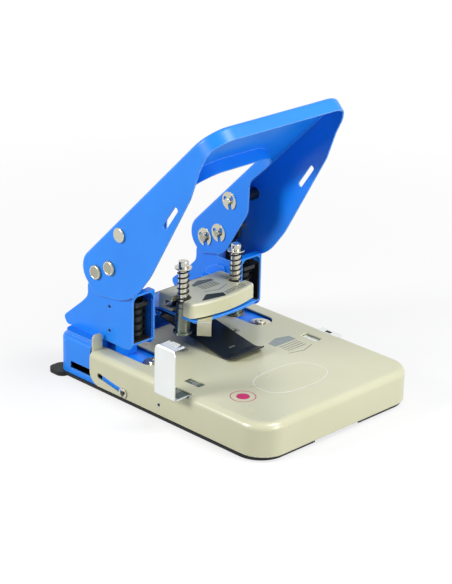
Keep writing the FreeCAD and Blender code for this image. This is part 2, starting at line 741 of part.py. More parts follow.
def make_paper_gauge():
    """Zinc side guide: a flat bar that slides under the table, bent up outside into a fence with a lip."""
    body = new_body("paper_gauge")
    low, left = "(low_deck + running_gap)", "-gauge_left"
    lip_end = "(-gauge_left + gauge_lip)"
    strip = [("gauge_right", low), (left, low, "gauge_sheet * 2"), (left, "gauge_top", "gauge_sheet * 2"),
             (lip_end, "gauge_top"), (lip_end, "gauge_top - gauge_sheet"),
             (f"{left} + gauge_sheet", "gauge_top - gauge_sheet", "gauge_sheet"),
             (f"{left} + gauge_sheet", f"{low} + gauge_sheet", "gauge_sheet"),
             ("gauge_right", f"{low} + gauge_sheet")]
    slab(body, "bent_strip", "XZ", strip, "-gauge_far", "-gauge_near")
    edges = (("far", "-gauge_far", 1), ("near", "-gauge_near", -1))
    for name, edge, inwards in edges:
        corner = [(f"{edge} - ({inwards})", "gauge_top + 1"), (f"{edge} - ({inwards})", "gauge_top - gauge_round"),
                  (edge, "gauge_top - gauge_round"), (f"{edge} + ({inwards}) * 1.6", "gauge_top - 1.6", "5"),
                  (f"{edge} + ({inwards}) * gauge_round", "gauge_top"),
                  (f"{edge} + ({inwards}) * gauge_round", "gauge_top + 1")]
        slab(body, f"corner_{name}", "YZ", corner, f"{left} - 1", f"{lip_end} + 1", cut=True)
        taper = [(f"{lip_end} - 9", f"{edge} + ({inwards}) * (gauge_round - 1)"),
                 (f"{lip_end} + 1", f"{edge} + ({inwards}) * (gauge_round - 1)"),
                 (f"{lip_end} + 1", f"{edge} + ({inwards}) * (gauge_round + 4)")]
        slab(body, f"lip_taper_{name}", "XY", taper, "gauge_top - gauge_sheet - 1", "gauge_top + 1", cut=True)
    crease = rectangle(f"{left} + gauge_lip / 2", f"{left} + gauge_lip / 2 + 1.2", "-gauge_far + 9",
                       "-gauge_near - 9")
    slab(body, "lip_slot", "XY", crease, "gauge_top - gauge_sheet - 1", "gauge_top + 1", cut=True)
    return body


# ---------------------------------------------------------------- uprights

def plate_profile():
    """Side view of an upright's plate: a box in front, a saddle, a round neck at the pivot, a sloping tail."""
    return [("upright_front", "box_top", "1"),
            ("upright_front + 10", "box_top", "3"),
            ("upright_front + 19", "saddle", "5"),
            ("pivot_y - neck_radius", "saddle", "4"),
            ("pivot_y - neck_radius", "pivot_z + neck_radius", "neck_radius * 0.98"),
            ("pivot_y + neck_radius", "pivot_z + neck_radius", "neck_radius * 0.98"),
            ("pivot_y + neck_radius", "pivot_z - neck_radius + 1", "6"),
            ("upright_rear", "pivot_z - neck_radius - 6", "6"),
            ("upright_rear", "high_deck + 44", "12"),
            ("upright_rear + 10", "high_deck + 34", "8"),
            ("upright_tail", "high_deck + 8", "5"),
            ("upright_tail - 6", "high_deck", "4"),
            ("upright_front", "high_deck", "9.5")]


def make_upright(name, side):
    """One folded stand: two plates with the handle's arm outside them and the crosshead between them."""
    body = new_body(name)

    def across(start, end):
        return (start, end) if side > 0 else (f"-({end})", f"-({start})")

    slab(body, "stand", "YZ", plate_profile(), *across("upright_inner", "upright_outer"))
    between = across("upright_inner + frame_sheet", "upright_outer - frame_sheet")
    strap_rear = "(upright_front + box_strap)"
    inside = [("upright_front - 1", "box_floor"), ("box_floor_rear", "box_floor"),
              ("box_floor_rear", "high_deck - 1"), ("foot_front", "high_deck - 1"),
              ("foot_front", "high_deck + frame_sheet"), ("upright_tail + 5", "high_deck + frame_sheet"),
              ("upright_tail + 5", "pivot_z + 20"), (strap_rear, "pivot_z + 20"),
              (strap_rear, "box_top - frame_sheet"), ("upright_front - 1", "box_top - frame_sheet")]
    slab(body, "inside", "YZ", inside, *between, cut=True)
    slab(body, "under_box", "YZ", rectangle("upright_front - 1", "box_floor_rear", "high_deck - 1",
                                            "box_floor - frame_sheet"), *between, cut=True)
    strap_under = value("box_top - frame_sheet")
    fillet(body, "strap_bends", "box_bend",
           lambda edge: at_height(edge, strap_under) and abs(edge.Vertexes[0].X - edge.Vertexes[-1].X) < 0.01)
    clear_low, clear_high = across("upright_inner - 1", "upright_outer + 1")
    rounds(body, "pivot_bore", "YZ", [("pivot_y", "pivot_z")], "pivot_radius + pin_fit",
           clear_low, clear_high, cut=True)
    rounds(body, "plate_holes", "YZ", [("plate_hole_y", "plate_hole_low"), ("plate_hole_y", "plate_hole_high")],
           "plate_hole_radius", clear_low, clear_high, cut=True)
    guide = rectangle("bar_front - bar_slot_gap", "bar_rear + bar_slot_gap", "high_deck - 1",
                      "bar_high + 2 * bar_slot_gap")
    slab(body, "bar_guide", "YZ", guide, *across("upright_inner - 1", "upright_inner + frame_sheet + 1"), cut=True)
    bolts = [(f"{side} * deck_bolt_x", y) for y in ("foot_bolt_front", "foot_bolt_rear")]
    rounds(body, "foot_holes", "XY", bolts, "foot_bolt_radius", "high_deck - 1",
           "high_deck + frame_sheet + 1", cut=True)
    spacer = [(f"{side} * deck_bolt_x", "(spacer_front + spacer_rear) / 2")]
    rounds(body, "spacer_hole", "XY", spacer, "foot_bolt_radius", "box_floor - frame_sheet - 1",
           "box_floor + 1", cut=True)
    return body


def make_upright_spacer(name, side):
    """Block between the low deck and the floor of the upright's box, clamped by one bolt."""
    body = new_body(name)
    middle = f"({side} * deck_bolt_x)"
    block = rectangle(f"{middle} - spacer_half_width", f"{middle} + spacer_half_width",
                      "spacer_front", "spacer_rear", "2")
    slab(body, "block", "XY", block, "low_deck", "box_floor - frame_sheet")
    rounds(body, "hole", "XY", [(middle, "(spacer_front + spacer_rear) / 2")], "foot_bolt_radius",
           "low_deck - 1", "box_floor", cut=True)
    return body


def make_spring_guide(name, side):
    """Black moulding in the upright's box: it lines both plates and holds the return spring on its post."""
    body = new_body(name)

    def across(start, end):
        return (start, end) if side > 0 else (f"-({end})", f"-({start})")

    inner, outer = "(upright_inner + frame_sheet)", "(upright_outer - frame_sheet)"
    wall = rectangle("guide_front", "guide_rear", "box_floor", "guide_high", "2")
    slab(body, "inner_wall", "YZ", wall, *across(inner, f"{inner} + guide_wall"))
    slab(body, "outer_wall", "YZ", wall, *across(f"{outer} - guide_wall", outer))
    floor = rectangle("guide_front", "guide_floor_rear", "box_floor", "box_floor + guide_wall")
    slab(body, "floor", "YZ", floor, *across(inner, outer))
    post = [(f"{side} * deck_bolt_x", "return_spring_y")]
    rounds(body, "post", "XY", post, "guide_post_radius", "box_floor", "guide_post_top")
    return body


def hexagon(x, y, across_flats):
    corners = []
    for turn in range(6):
        reach = f"({across_flats}) / sqrt(3)"
        cos, sin = math.cos(math.radians(60 * turn)), math.sin(math.radians(60 * turn))
        corners.append((f"{x} + {reach} * {cos:.6f}", f"{y} + {reach} * {sin:.6f}"))
    return corners


def make_foot_bolts():
    """Hexagon bolts of the uprights: two through each foot, one through each spacer."""
    body = new_body("upright_bolts")
    for side_name, side in SIDES:
        x = f"({side} * deck_bolt_x)"
        foot_seat, foot_end = "(high_deck + frame_sheet)", "(high_deck - frame_sheet - 5)"
        seats = (("front", "foot_bolt_front", foot_seat, foot_end, "4"),
                 ("rear", "foot_bolt_rear", foot_seat, foot_end, "4"),
                 ("box", "(spacer_front + spacer_rear) / 2", "box_floor", "(low_deck - frame_sheet - 5)", "2.2"))
        for spot, y, seat, end, head in seats:
            label = f"{spot}_{side_name}"
            rounds(body, f"shank_{label}", "XY", [(x, y)], "foot_bolt_radius", end, seat)
            slab(body, f"head_{label}", "XY", hexagon(x, y, "foot_bolt_radius * 3.3"), seat, f"{seat} + {head}")
    return body


# ---------------------------------------------------------------- bridge and punching head

def make_bridge_plate():
    """Blue bridge between the uprights: it carries the sleeves, and slots let the drive arms come down."""
    body = new_body("bridge_plate")
    right = [("bridge_half_width", "-bridge_side", "4"), ("bridge_half_width", "bridge_waist", "6"),
             ("upright_inner - 8", "bridge_shoulder", "6"), ("upright_inner", "bridge_shoulder"),
             ("upright_inner", "bridge_rear"), ("upright_inner - 10", "bridge_rear", "5"),
             ("upright_inner - 18", "tongue_rear", "5")]
    left = [(f"-({x})", y, *rest) for x, y, *rest in reversed(right)]
    corners = [("0", "-bridge_nose", "bridge_nose_round")] + right + left
    slab(body, "plate", "XY", corners, "bridge_top - bridge_sheet", "bridge_top")
    sleeves = [(f"-{PUNCH_X}", "0"), (PUNCH_X, "0")]
    rounds(body, "sleeve_seats", "XY", sleeves, "sleeve_radius",
           "bridge_top - bridge_sheet - 1", "bridge_top + 1", cut=True)
    pin_gap = "(link_pin_radius + arm_gap)"
    slot_inner = "(arm_inner - arm_gap)"
    slot_outer = "(arm_inner + arm_thick + arm_gap)"
    for name, side in SIDES:
        arm_slot = rectangle(f"{side} * {slot_inner}", f"{side} * {slot_outer}", "-arm_front - arm_gap",
                             "arm_riser_rear + arm_gap")
        slab(body, f"arm_slot_{name}", "XY", arm_slot, "bridge_top - bridge_sheet - 1", "bridge_top + 1", cut=True)
        gate = rectangle(f"{side} * ({slot_outer} - 0.5)", f"{side} * ({PUNCH_X} - sleeve_radius + 1)",
                         f"-{pin_gap}", pin_gap)
        slab(body, f"pin_gate_{name}", "XY", gate, "bridge_top - bridge_sheet - 1", "bridge_top + 1", cut=True)
    flange = [("bridge_shoulder", "bridge_top - bridge_sheet"), ("bridge_rear", "bridge_top - bridge_sheet"),
              ("bridge_rear", "flange_top - flange_slope_drop", "4"),
              ("bridge_rear - flange_slope_run", "flange_top", "8"), ("bridge_shoulder", "flange_top", "3")]
    ear = [("holder_pin_y - 5", "bridge_top - bridge_sheet"), ("holder_pin_y - 5", "holder_pin_z - 5", "4.5"),
           ("tongue_rear", "holder_pin_z - 5", "3.5"), ("tongue_rear", "bridge_top - bridge_sheet")]
    for name, side in SIDES:
        low, high = ("upright_inner - bridge_sheet", "upright_inner")
        ear_low, ear_high = ("ear_inner", "ear_inner + ear_thick")
        if side < 0:
            low, high = f"-({high})", f"-({low})"
            ear_low, ear_high = f"-({ear_high})", f"-({ear_low})"
        slab(body, f"flange_{name}", "YZ", flange, low, high)
        slab(body, f"ear_{name}", "YZ", ear, ear_low, ear_high)
    rounds(body, "holder_pin_holes", "YZ", [("holder_pin_y", "holder_pin_z")], "holder_pin_radius",
           "-tongue_half_width", "tongue_half_width", cut=True)
    return body


def cover_outline(inset):
    side = f"(cover_half_width - {inset})"
    front = f"-(cover_side - {inset})"
    rear = f"(cover_rear - {inset})"
    nose = f"-(cover_nose - {inset})"
    notch = f"(cover_notch - {inset})"
    half = f"(cover_notch_half + {inset})"
    round_off = f"(cover_corner - {inset})"
    notch_round = f"{half} * 0.98"
    right = [(side, front, round_off), (side, f"-{half}"), (notch, f"-{half}", notch_round),
             (notch, half, notch_round), (side, half), (side, rear, round_off)]
    left = [(f"-{x}", y, *rest) for x, y, *rest in reversed(right)]
    return [("0", nose, "cover_nose_round")] + right + left


def make_head_cover():
    """Cream hood over the punching head, on three bosses, notched round both sleeves and open below."""
    body = new_body("head_cover")
    slab(body, "hood", "XY", cover_outline("0"), "cover_low", "cover_top")
    notch = value("cover_notch_half") + 0.01
    fillet(body, "soft_edge", "cover_round",
           lambda edge: at_height(edge, value("cover_top")) and abs(edge.CenterOfMass.y) > notch)
    slab(body, "inside", "XY", cover_outline("cover_wall"), "cover_low - 1", "cover_top - cover_wall", cut=True)
    pin_top = "link_pin_z + link_pin_radius + 0.8"
    pin_slot = rectangle("-link_slot_width / 2", "link_slot_width / 2", "cover_low - 1", pin_top)
    slab(body, "pin_slots", "YZ", pin_slot, "-cover_notch - 1", "cover_notch + 1", cut=True)
    side_port = rectangle("cover_notch_half - 1", "side_port_rear", "side_port_low", "side_port_high")
    slab(body, "side_ports", "YZ", side_port, "-cover_half_width - 1", "cover_half_width + 1", cut=True)
    bosses = [("-14", "-12"), ("14", "-12"), ("0", "25")]
    rounds(body, "bosses", "XY", bosses, "cover_boss_radius", "bridge_top + running_gap", "cover_top - cover_wall")
    return body


def make_front_clip():
    """Nickel spring clip on the bridge's front left corner: it comes out under the hood and is bent down."""
    body = new_body("front_clip")
    top = "(bridge_top + clip_sheet)"
    profile = [("-clip_root", "bridge_top"), ("-clip_root", top), ("-clip_reach - clip_sheet", top, "1.2"),
               ("-clip_reach - clip_sheet", "clip_low"), ("-clip_reach", "clip_low"),
               ("-clip_reach", "bridge_top", "0.4")]
    slab(body, "bent_strip", "YZ", profile, "-clip_half_width", "clip_half_width")
    return place(body, turn="-clip_turn")


def make_sleeve(name, side):
    """Guide sleeve of one punch, flanged below, with a slot on its inner side for the link pin."""
    flange_top = "(sleeve_low + sleeve_flange_thick)"
    profile = [("sleeve_low", "hole_radius + rod_fit"), ("sleeve_low", "sleeve_flange_radius", "0.6"),
               (flange_top, "sleeve_flange_radius", "0.6"), (flange_top, "sleeve_radius"),
               ("sleeve_neck_low", "sleeve_radius"),
               ("sleeve_neck_low + sleeve_radius - sleeve_neck_radius", "sleeve_neck_radius"),
               ("sleeve_top", "sleeve_neck_radius"), ("sleeve_top", "rod_radius + rod_fit"),
               (flange_top, "rod_radius + rod_fit"), (flange_top, "hole_radius + rod_fit")]
    body = turned(name, profile, axis="Z")
    slot = rectangle("-link_slot_width / 2", "link_slot_width / 2",
                     "link_pin_z - stroke - link_pin_radius - 0.5", "link_pin_z + link_pin_radius + 0.5", "2")
    low, high = ("-sleeve_radius - 1", "0") if side > 0 else ("0", "sleeve_radius + 1")
    slab(body, "link_slot", "YZ", slot, low, high, cut=True)
    return place(body, x=f"{side} * {PUNCH_X}")


def make_holder_pin():
    end = "(ear_inner + ear_thick + 0.8)"
    return place(turned("holder_pin", [(f"-{end}", "0"), (end, "0"), (end, "holder_pin_radius"),
                                       (f"-{end}", "holder_pin_radius")]),
                 y="holder_pin_y", z="holder_pin_z")


def make_paper_holder():
    """Black ski-shaped strip that hangs on its pin and lets the paper slide in beneath."""
    body = new_body("paper_holder")
    corner_low = "(table_top + running_gap - holder_bend_drop)"
    start_y, start_low = "(holder_pin_y - 0.5)", "(holder_pin_z - holder_barrel + 0.1)"
    side_view = [(start_y, start_low), (start_y, f"{start_low} + holder_sheet"),
                 ("-holder_bend_y", f"{corner_low} + holder_sheet", "holder_bend_round - holder_sheet"),
                 ("-holder_lip_y", f"{corner_low} + holder_sheet + holder_lip_rise"),
                 ("-holder_lip_y", f"{corner_low} + holder_lip_rise"),
                 ("-holder_bend_y", corner_low, "holder_bend_round")]
    slab(body, "ski", "YZ", side_view, "-holder_half_width", "holder_half_width")
    corner = [("-holder_half_width - 1", "-holder_lip_y - 1"), ("-holder_half_width + 6", "-holder_lip_y - 1"),
              ("-holder_half_width - 1", "-holder_lip_y + 6")]
    for name, side in SIDES:
        slab(body, f"corner_{name}", "XY", [(f"{-side} * ({x})", y) for x, y in corner],
             corner_low, f"{corner_low} + 20", cut=True)
        beside_ear = rectangle(f"{side} * (ear_inner - running_gap)", f"{side} * (holder_half_width + 1)",
                               "holder_pin_y - 6.5", "holder_pin_y + 1")
        slab(body, f"ear_relief_{name}", "XY", beside_ear, corner_low, "holder_pin_z", cut=True)
    barrel_end = "(ear_inner - running_gap)"
    rounds(body, "barrel", "YZ", [("holder_pin_y", "holder_pin_z")], "holder_barrel",
           f"-{barrel_end}", barrel_end)
    rounds(body, "pin_bore", "YZ", [("holder_pin_y", "holder_pin_z")], "holder_pin_radius + pin_fit",
           "-holder_half_width - 1", "holder_half_width + 1", cut=True)
    return body


# ---------------------------------------------------------------- handle and its pins

def band_outline(inset, heel):
    """Plan of the U-shaped lever: outer edge, crossbar and opening, all moved inwards by inset."""
    outer = f"(handle_half_width - {inset})"
    inner = f"(handle_opening_half + {inset})"
    reach = f"-(handle_reach - {inset})"
    opening = f"-(handle_opening_reach + {inset})"
    corner = f"(handle_corner - {inset})"
    opening_corner = f"(handle_opening_corner + {inset})"
    return [(f"-{outer}", heel), (f"-{outer}", reach, corner), (outer, reach, corner), (outer, heel),
            (inner, heel), (inner, opening, opening_corner), (f"-{inner}", opening, opening_corner),
            (f"-{inner}", heel)]


def make_handle():
    """The lever, one deep pressing: two channel arms and a crossbar, with wide lobes that hold the pins."""
    body = new_body("handle")
    floor = "-(lobe_n + 10)"
    slab(body, "band", "XY", band_outline("0", "handle_heel"), floor, "handle_top")
    heel, top = value("handle_heel"), value("handle_top")
    fillet(body, "heel_round", "handle_heel_round",
           lambda edge: at_height(edge, top) and abs(edge.CenterOfMass.y - heel) < 0.01)
    outer_side = [("handle_heel + 1", f"{floor} - 1"), ("handle_heel + 1", "-12"), ("handle_heel", "-15.5", "8"),
                  ("-lobe_u", "-lobe_n", "lobe_round"), ("-flank_u", "-flank_n", "90"),
                  ("-step_low_u", "-step_low_n", "24"), ("-step_high_u", "-step_high_n", "20"),
                  ("-handle_reach + 14", "crossbar_edge", "12"), ("-handle_reach - 1", "crossbar_edge"),
                  ("-handle_reach - 1", f"{floor} - 1")]
    slab(body, "outer_edge", "YZ", outer_side, "-handle_half_width - 1", "handle_half_width + 1", cut=True)
    inner_side = [("handle_heel + 1", f"{floor} - 1"), ("handle_heel + 1", "-2"), ("handle_heel", "-8", "6"),
                  ("-12", "-30", "24"), ("-79.3", "-13.5", "26"), ("-106", "12", "16"),
                  ("-handle_opening_reach - 12", "crossbar_edge"), ("-handle_opening_reach - 12", f"{floor} - 1")]
    slab(body, "inner_edge", "YZ", inner_side, "-handle_opening_half - 9", "handle_opening_half + 9", cut=True)
    fillet(body, "fold", "handle_fold",
           lambda edge: (at_height(edge, top)
                         and edge.CenterOfMass.y < value("handle_heel - handle_heel_round") - 1))
    slab(body, "hollow", "XY", band_outline("handle_sheet", "handle_heel + 1"),
         f"{floor} - 1", "handle_top - handle_sheet", cut=True)
    holes = (("pivot_holes", "0", "0", "pivot_radius"), ("drive_holes", "-drive_u", "-drive_n", "drive_radius"),
             ("spacer_holes", "-spacer_u", "spacer_n", "upper_radius"))
    for name, y, z, radius in holes:
        rounds(body, name, "YZ", [(y, z)], radius, "-handle_half_width - 1", "handle_half_width + 1", cut=True)
    hang = slot_outline("-hang_slot_far", "-hang_slot_far_n", "-hang_slot_near", "-hang_slot_near_n",
                        "hang_slot_width")
    slab(body, "hang_slots", "YZ", hang, "-handle_half_width - 1", "handle_half_width + 1", cut=True)
    return place(body, y="pivot_y", z="pivot_z", tilt="-lever_angle")


def make_handle_pin(name, side, radius, y, z):
    """Shouldered pin through one arm of the lever: domed head outside, grooved tail inside."""
    tail = "(handle_opening_half - pin_tail)"
    groove = "(handle_opening_half - ring_sheet)"
    head = "handle_half_width"
    tip = f"({head} + pin_head_thick)"
    profile = [(tail, "0"), (tip, "0"), (tip, "pin_head_radius", "1.2"), (head, "pin_head_radius"),
               (head, radius), ("handle_opening_half", radius), ("handle_opening_half", f"{radius} - clip_groove"),
               (groove, f"{radius} - clip_groove"), (groove, radius), (tail, radius, "0.8")]
    profile = [(f"{side} * ({along})", *rest) for along, *rest in profile]
    return place(turned(name, profile), y=y, z=z)


def make_handle_pin_clips():
    """Six retaining rings on the pins' tails, against the inner faces of the lever's arms."""
    spots = [(y, z, f"({radius} - clip_groove)", "pin_clip_radius")
             for y, z, radius in (("0", "0", "pivot_radius"), ("-drive_u", "-drive_n", "drive_radius"),
                                  ("-spacer_u", "spacer_n", "upper_radius"))]
    rings = make_e_rings("handle_pin_clips", spots, "(handle_opening_half - ring_sheet)", "handle_opening_half",
                         "clip_opening_turn")
    return place(rings, y="pivot_y", z="pivot_z", tilt="-lever_angle")


def make_spacer_tube(name, side):
    """Tube on the upper pin that keeps the arm's two walls apart."""
    inner = "(handle_opening_half + handle_sheet)"
    outer = "(handle_half_width - handle_sheet)"
    profile = [(inner, "upper_radius"), (outer, "upper_radius"), (outer, "tube_radius"), (inner, "tube_radius")]
    profile = [(f"{side} * {along}", radius) for along, radius in profile]
    return place(turned(name, profile), y=SPACER_Y, z=SPACER_Z)


SPACER_Y = "(pivot_y - spacer_u * cos(lever_angle) + spacer_n * sin(lever_angle))"
SPACER_Z = "(pivot_z + spacer_u * sin(lever_angle) + spacer_n * cos(lever_angle))"


# ---------------------------------------------------------------- crosshead: what the lever pushes down

def make_crosshead_bar():
    """Steel bar behind the head that joins both yokes and carries the drive arms."""
    body = new_body("crosshead_bar")
    bar = rectangle("-yoke_inner", "yoke_inner", "bar_front", "bar_rear")
    slab(body, "bar", "XY", bar, "bar_low", "bar_high")
    rounds(body, "screw_holes", "YZ", [("(bar_front + bar_rear) / 2", "(bar_low + bar_high) / 2")],
           "yoke_screw_radius", "yoke_inner - 12", "yoke_inner + 1", cut=True)
    rounds(body, "screw_holes_left", "YZ", [("(bar_front + bar_rear) / 2", "(bar_low + bar_high) / 2")],
           "yoke_screw_radius", "-yoke_inner - 1", "-yoke_inner + 12", cut=True)
    return body


def make_yoke(name, side):
    """Slotted yoke: the lever's drive pin runs in its level slot, and the return spring lifts its seat."""
    body = new_body(name)
    low, high = "yoke_inner", "yoke_inner + yoke_thick"
    seat_low, seat_high = "deck_bolt_x - return_spring_radius", "deck_bolt_x + return_spring_radius"
    if side < 0:
        low, high = f"-({high})", f"-({low})"
        seat_low, seat_high = f"-({seat_high})", f"-({seat_low})"
    side_view = [("yoke_front", "yoke_high", "4"), ("yoke_front", "yoke_low", "3"),
                 ("yoke_leg_front", "yoke_low - 4", "3"), ("yoke_leg_front", "yoke_run_low", "3"),
                 ("yoke_drop_front", "yoke_run_low", "2"), ("yoke_drop_front", "bar_low", "3"),
                 ("bar_rear", "bar_low", "2"), ("bar_rear", "bar_high", "6"),
                 ("yoke_leg_rear", "yoke_run_high", "6"), ("yoke_leg_rear", "yoke_low - 4", "3"),
                 ("yoke_rear", "yoke_low", "3"), ("yoke_rear", "yoke_high", "4")]
    slab(body, "plate", "YZ", side_view, low, high)
    seat = rectangle(seat_low, seat_high, "spring_seat_front", "yoke_leg_front + 3", "3")
    slab(body, "spring_seat", "XY", seat, "spring_seat_low", "spring_seat_low + spring_seat_thick")
    post = [(f"{side} * deck_bolt_x", "return_spring_y")]
    rounds(body, "post_hole", "XY", post, "guide_post_radius + guide_post_gap", "spring_seat_low - 1",
           "spring_seat_low + spring_seat_thick + 1", cut=True)
    width = "(2 * (drive_radius + yoke_slot_gap))"
    slot = slot_outline(f"yoke_slot_front + {width} / 2", DRIVE_Z, f"yoke_slot_rear - {width} / 2", DRIVE_Z, width)
    slab(body, "pin_slot", "YZ", slot, f"{low} - 1", f"{high} + 1", cut=True)
    rounds(body, "screw_hole", "YZ", [("(bar_front + bar_rear) / 2", "(bar_low + bar_high) / 2")],
           "yoke_screw_radius", f"{low} - 1", f"{high} + 1", cut=True)
    return body


def make_yoke_screws():
    """Two screws that hold the yokes to the ends of the bar."""
    body = new_body("yoke_screws")
    spot = [("(bar_front + bar_rear) / 2", "(bar_low + bar_high) / 2")]
    seat = "(yoke_inner + yoke_thick)"
    rounds(body, "shank_right", "YZ", spot, "yoke_screw_radius", "yoke_inner - 12", seat)
    rounds(body, "shank_left", "YZ", spot, "yoke_screw_radius", f"-{seat}", "-yoke_inner + 12")
    rounds(body, "head_right", "YZ", spot, "yoke_screw_radius * 1.6", seat, f"{seat} + yoke_screw_head")
    rounds(body, "head_left", "YZ", spot, "yoke_screw_radius * 1.6", f"-{seat} - yoke_screw_head", f"-{seat}")
    return body


def make_drive_arm(name, side):
    """Cranked arm: it runs forward below the bridge, rises through its slot and reaches to the punch's pin."""
    body = new_body(name)
    low, high = "arm_inner", "arm_inner + arm_thick"
    if side < 0:
        low, high = f"-({high})", f"-({low})"
    side_view = [("-arm_front", "arm_low", "3"), ("arm_riser_front", "arm_low", "1.5"),
                 ("arm_riser_front", "bar_low", "3"), ("bar_front", "bar_low"), ("bar_front", "bar_high"),
                 ("arm_riser_rear", "bar_high", "2"), ("arm_riser_rear", "arm_high", "3"),
                 ("-arm_front", "arm_high", "3")]
    slab(body, "arm", "YZ", side_view, low, high)
    rounds(body, "link_hole", "YZ", [("0", "link_pin_z")], "link_pin_radius",
           f"{low} - 1", f"{high} + 1", cut=True)
    return body


def make_link_pins():
    """Two cross pins that carry the arms' push into the punch rods."""
    body = new_body("link_pins")
    far = f"({PUNCH_X} + rod_radius - 1.5)"
    rounds(body, "pin_right", "YZ", [("0", "link_pin_z")], "link_pin_radius", "arm_inner", far)
    rounds(body, "pin_left", "YZ", [("0", "link_pin_z")], "link_pin_radius", f"-{far}", "-arm_inner")
    return body


def make_rod(name, side):
    """Punch rod: a thick guided shank, a slim hollow-ground tip, and a groove for the top ring."""
    groove = "(rod_radius - rod_groove)"
    ring_top = "(rod_clip_z + ring_sheet)"
    profile = [("tip_z", "0"), ("tip_z", "hole_radius"), ("rod_shoulder", "hole_radius"),
               ("rod_shoulder", "rod_radius", "0.5"), ("rod_clip_z", "rod_radius"), ("rod_clip_z", groove),
               (ring_top, groove), (ring_top, "rod_radius"), ("rod_top", "rod_radius", "0.8"), ("rod_top", "0")]
    body = turned(name, profile, axis="Z")
    low, high = ("-rod_radius - 1", "rod_radius - 1.5") if side > 0 else ("-rod_radius + 1.5", "rod_radius + 1")
    rounds(body, "link_hole", "YZ", [("0", "link_pin_z")], "link_pin_radius", low, high, cut=True)
    return place(body, x=f"{side} * {PUNCH_X}")


def make_spring(name, x, y, low, high, radius, wire, coils):
    """Round helical spring between two heights; six flats stand for its round wire."""
    spring = doc.addObject("Part::Feature", name)
    spring.Label = name
    height = value(high) - value(low)
    mean = value(radius) - value(wire) / 2
    lift = height - value(wire)
    helix = Part.makeHelix(lift / value(coils), lift, mean)
    section = Part.makePolygon([Vector(mean + value(wire) / 2 * math.cos(math.radians(60 * turn)), 0,
                                       value(wire) / 2 * math.sin(math.radians(60 * turn))) for turn in range(7)])
    spring.Shape = Part.Wire(helix.Edges).makePipeShell([section], True, True)
    return place(spring, x, y, f"{low} + {wire} / 2")


# ---------------------------------------------------------------- the whole drill

def make_all():
    pieces = [make_bottom_cover(), make_base_frame(), make_table_top(), make_cross_pin(), make_die_bar(),
              make_deck_bolts(), make_paper_gauge(), make_foot_bolts(), make_bridge_plate(), make_head_cover(),
              make_front_clip(), make_holder_pin(), make_paper_holder(), make_handle(), make_handle_pin_clips(),
              make_crosshead_bar(), make_yoke_screws(), make_link_pins()]
    pieces.append(make_e_rings("cross_pin_clips", [("cross_pin_y", "cross_pin_z", "cross_pin_radius",
                                                    "cross_clip_radius")], "table_half_width + running_gap",
                               "table_half_width + running_gap + ring_sheet", "0"))
    pieces.append(make_rings("deck_washers", [("-deck_bolt_x", "0"), ("deck_bolt_x", "0")], "deck_bolt_radius",
                             "deck_washer_radius", "low_deck", "low_deck + deck_washer_thick", "XY"))
    pieces.append(make_rings("punch_clips", [(f"-{PUNCH_X}", "0"), (PUNCH_X, "0")], "(rod_radius - rod_groove)",
                             "rod_clip_radius", "rod_clip_z", "rod_clip_z + ring_sheet", "XY"))
    for name, side in SIDES:
        pieces += [make_die(f"die_bush_{name}", side), make_upright(f"upright_{name}", side),
                   make_upright_spacer(f"upright_spacer_{name}", side),
                   make_spring_guide(f"spring_guide_{name}", side),
                   make_sleeve(f"punch_sleeve_{name}", side),
                   make_handle_pin(f"pivot_pin_{name}", side, "pivot_radius", "pivot_y", "pivot_z"),
                   make_handle_pin(f"drive_pin_{name}", side, "drive_radius", DRIVE_Y, DRIVE_Z),
                   make_handle_pin(f"spacer_pin_{name}", side, "upper_radius", SPACER_Y, SPACER_Z),
                   make_spacer_tube(f"spacer_tube_{name}", side), make_yoke(f"drive_yoke_{name}", side),
                   make_drive_arm(f"drive_arm_{name}", side), make_rod(f"punch_rod_{name}", side)]
        pieces.append(make_spring(f"punch_spring_{name}", f"{side} * {PUNCH_X}", "0", "sleeve_top", "rod_clip_z",
                                  "punch_spring_radius", "punch_wire", "punch_coils"))
        pieces.append(make_spring(f"return_spring_{name}", f"{side} * deck_bolt_x", "return_spring_y",
                                  "(box_floor + guide_wall)", "spring_seat_low", "return_spring_radius",
                                  "return_wire", "return_coils"))
    return pieces


def check_and_export(pieces):
    """Refuses failed objects and broken solids, then writes one file for each sub-part."""
    doc.recompute()
    failed = [item.Name for item in doc.Objects if {"Invalid", "Error"} & set(item.State)]
    if failed:
        raise ValueError(f"failed objects: {failed}")
    broken = [piece.Label for piece in pieces
              if piece.Shape.isNull() or not piece.Shape.isValid() or piece.Shape.Volume <= 0]
    if broken:
        raise ValueError(f"broken shapes: {broken}")
    os.makedirs("parts", exist_ok=True)
    for piece in pieces:
        piece.Shape.exportStep(f"parts/{piece.Label}.step")
        print(piece.Label, len(piece.Shape.Solids), round(piece.Shape.Volume))


check_and_export(make_all())
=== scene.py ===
# Heavy-duty two-hole paper punch: finishes, wire springs, pin rims and printed marks round its solid model.
# The sections follow the punch as it is put together, from the bottom cover up to the lever and its springs.
import math

import bmesh
import bpy
from mathutils import Matrix, Vector
from mathutils.bvhtree import BVHTree


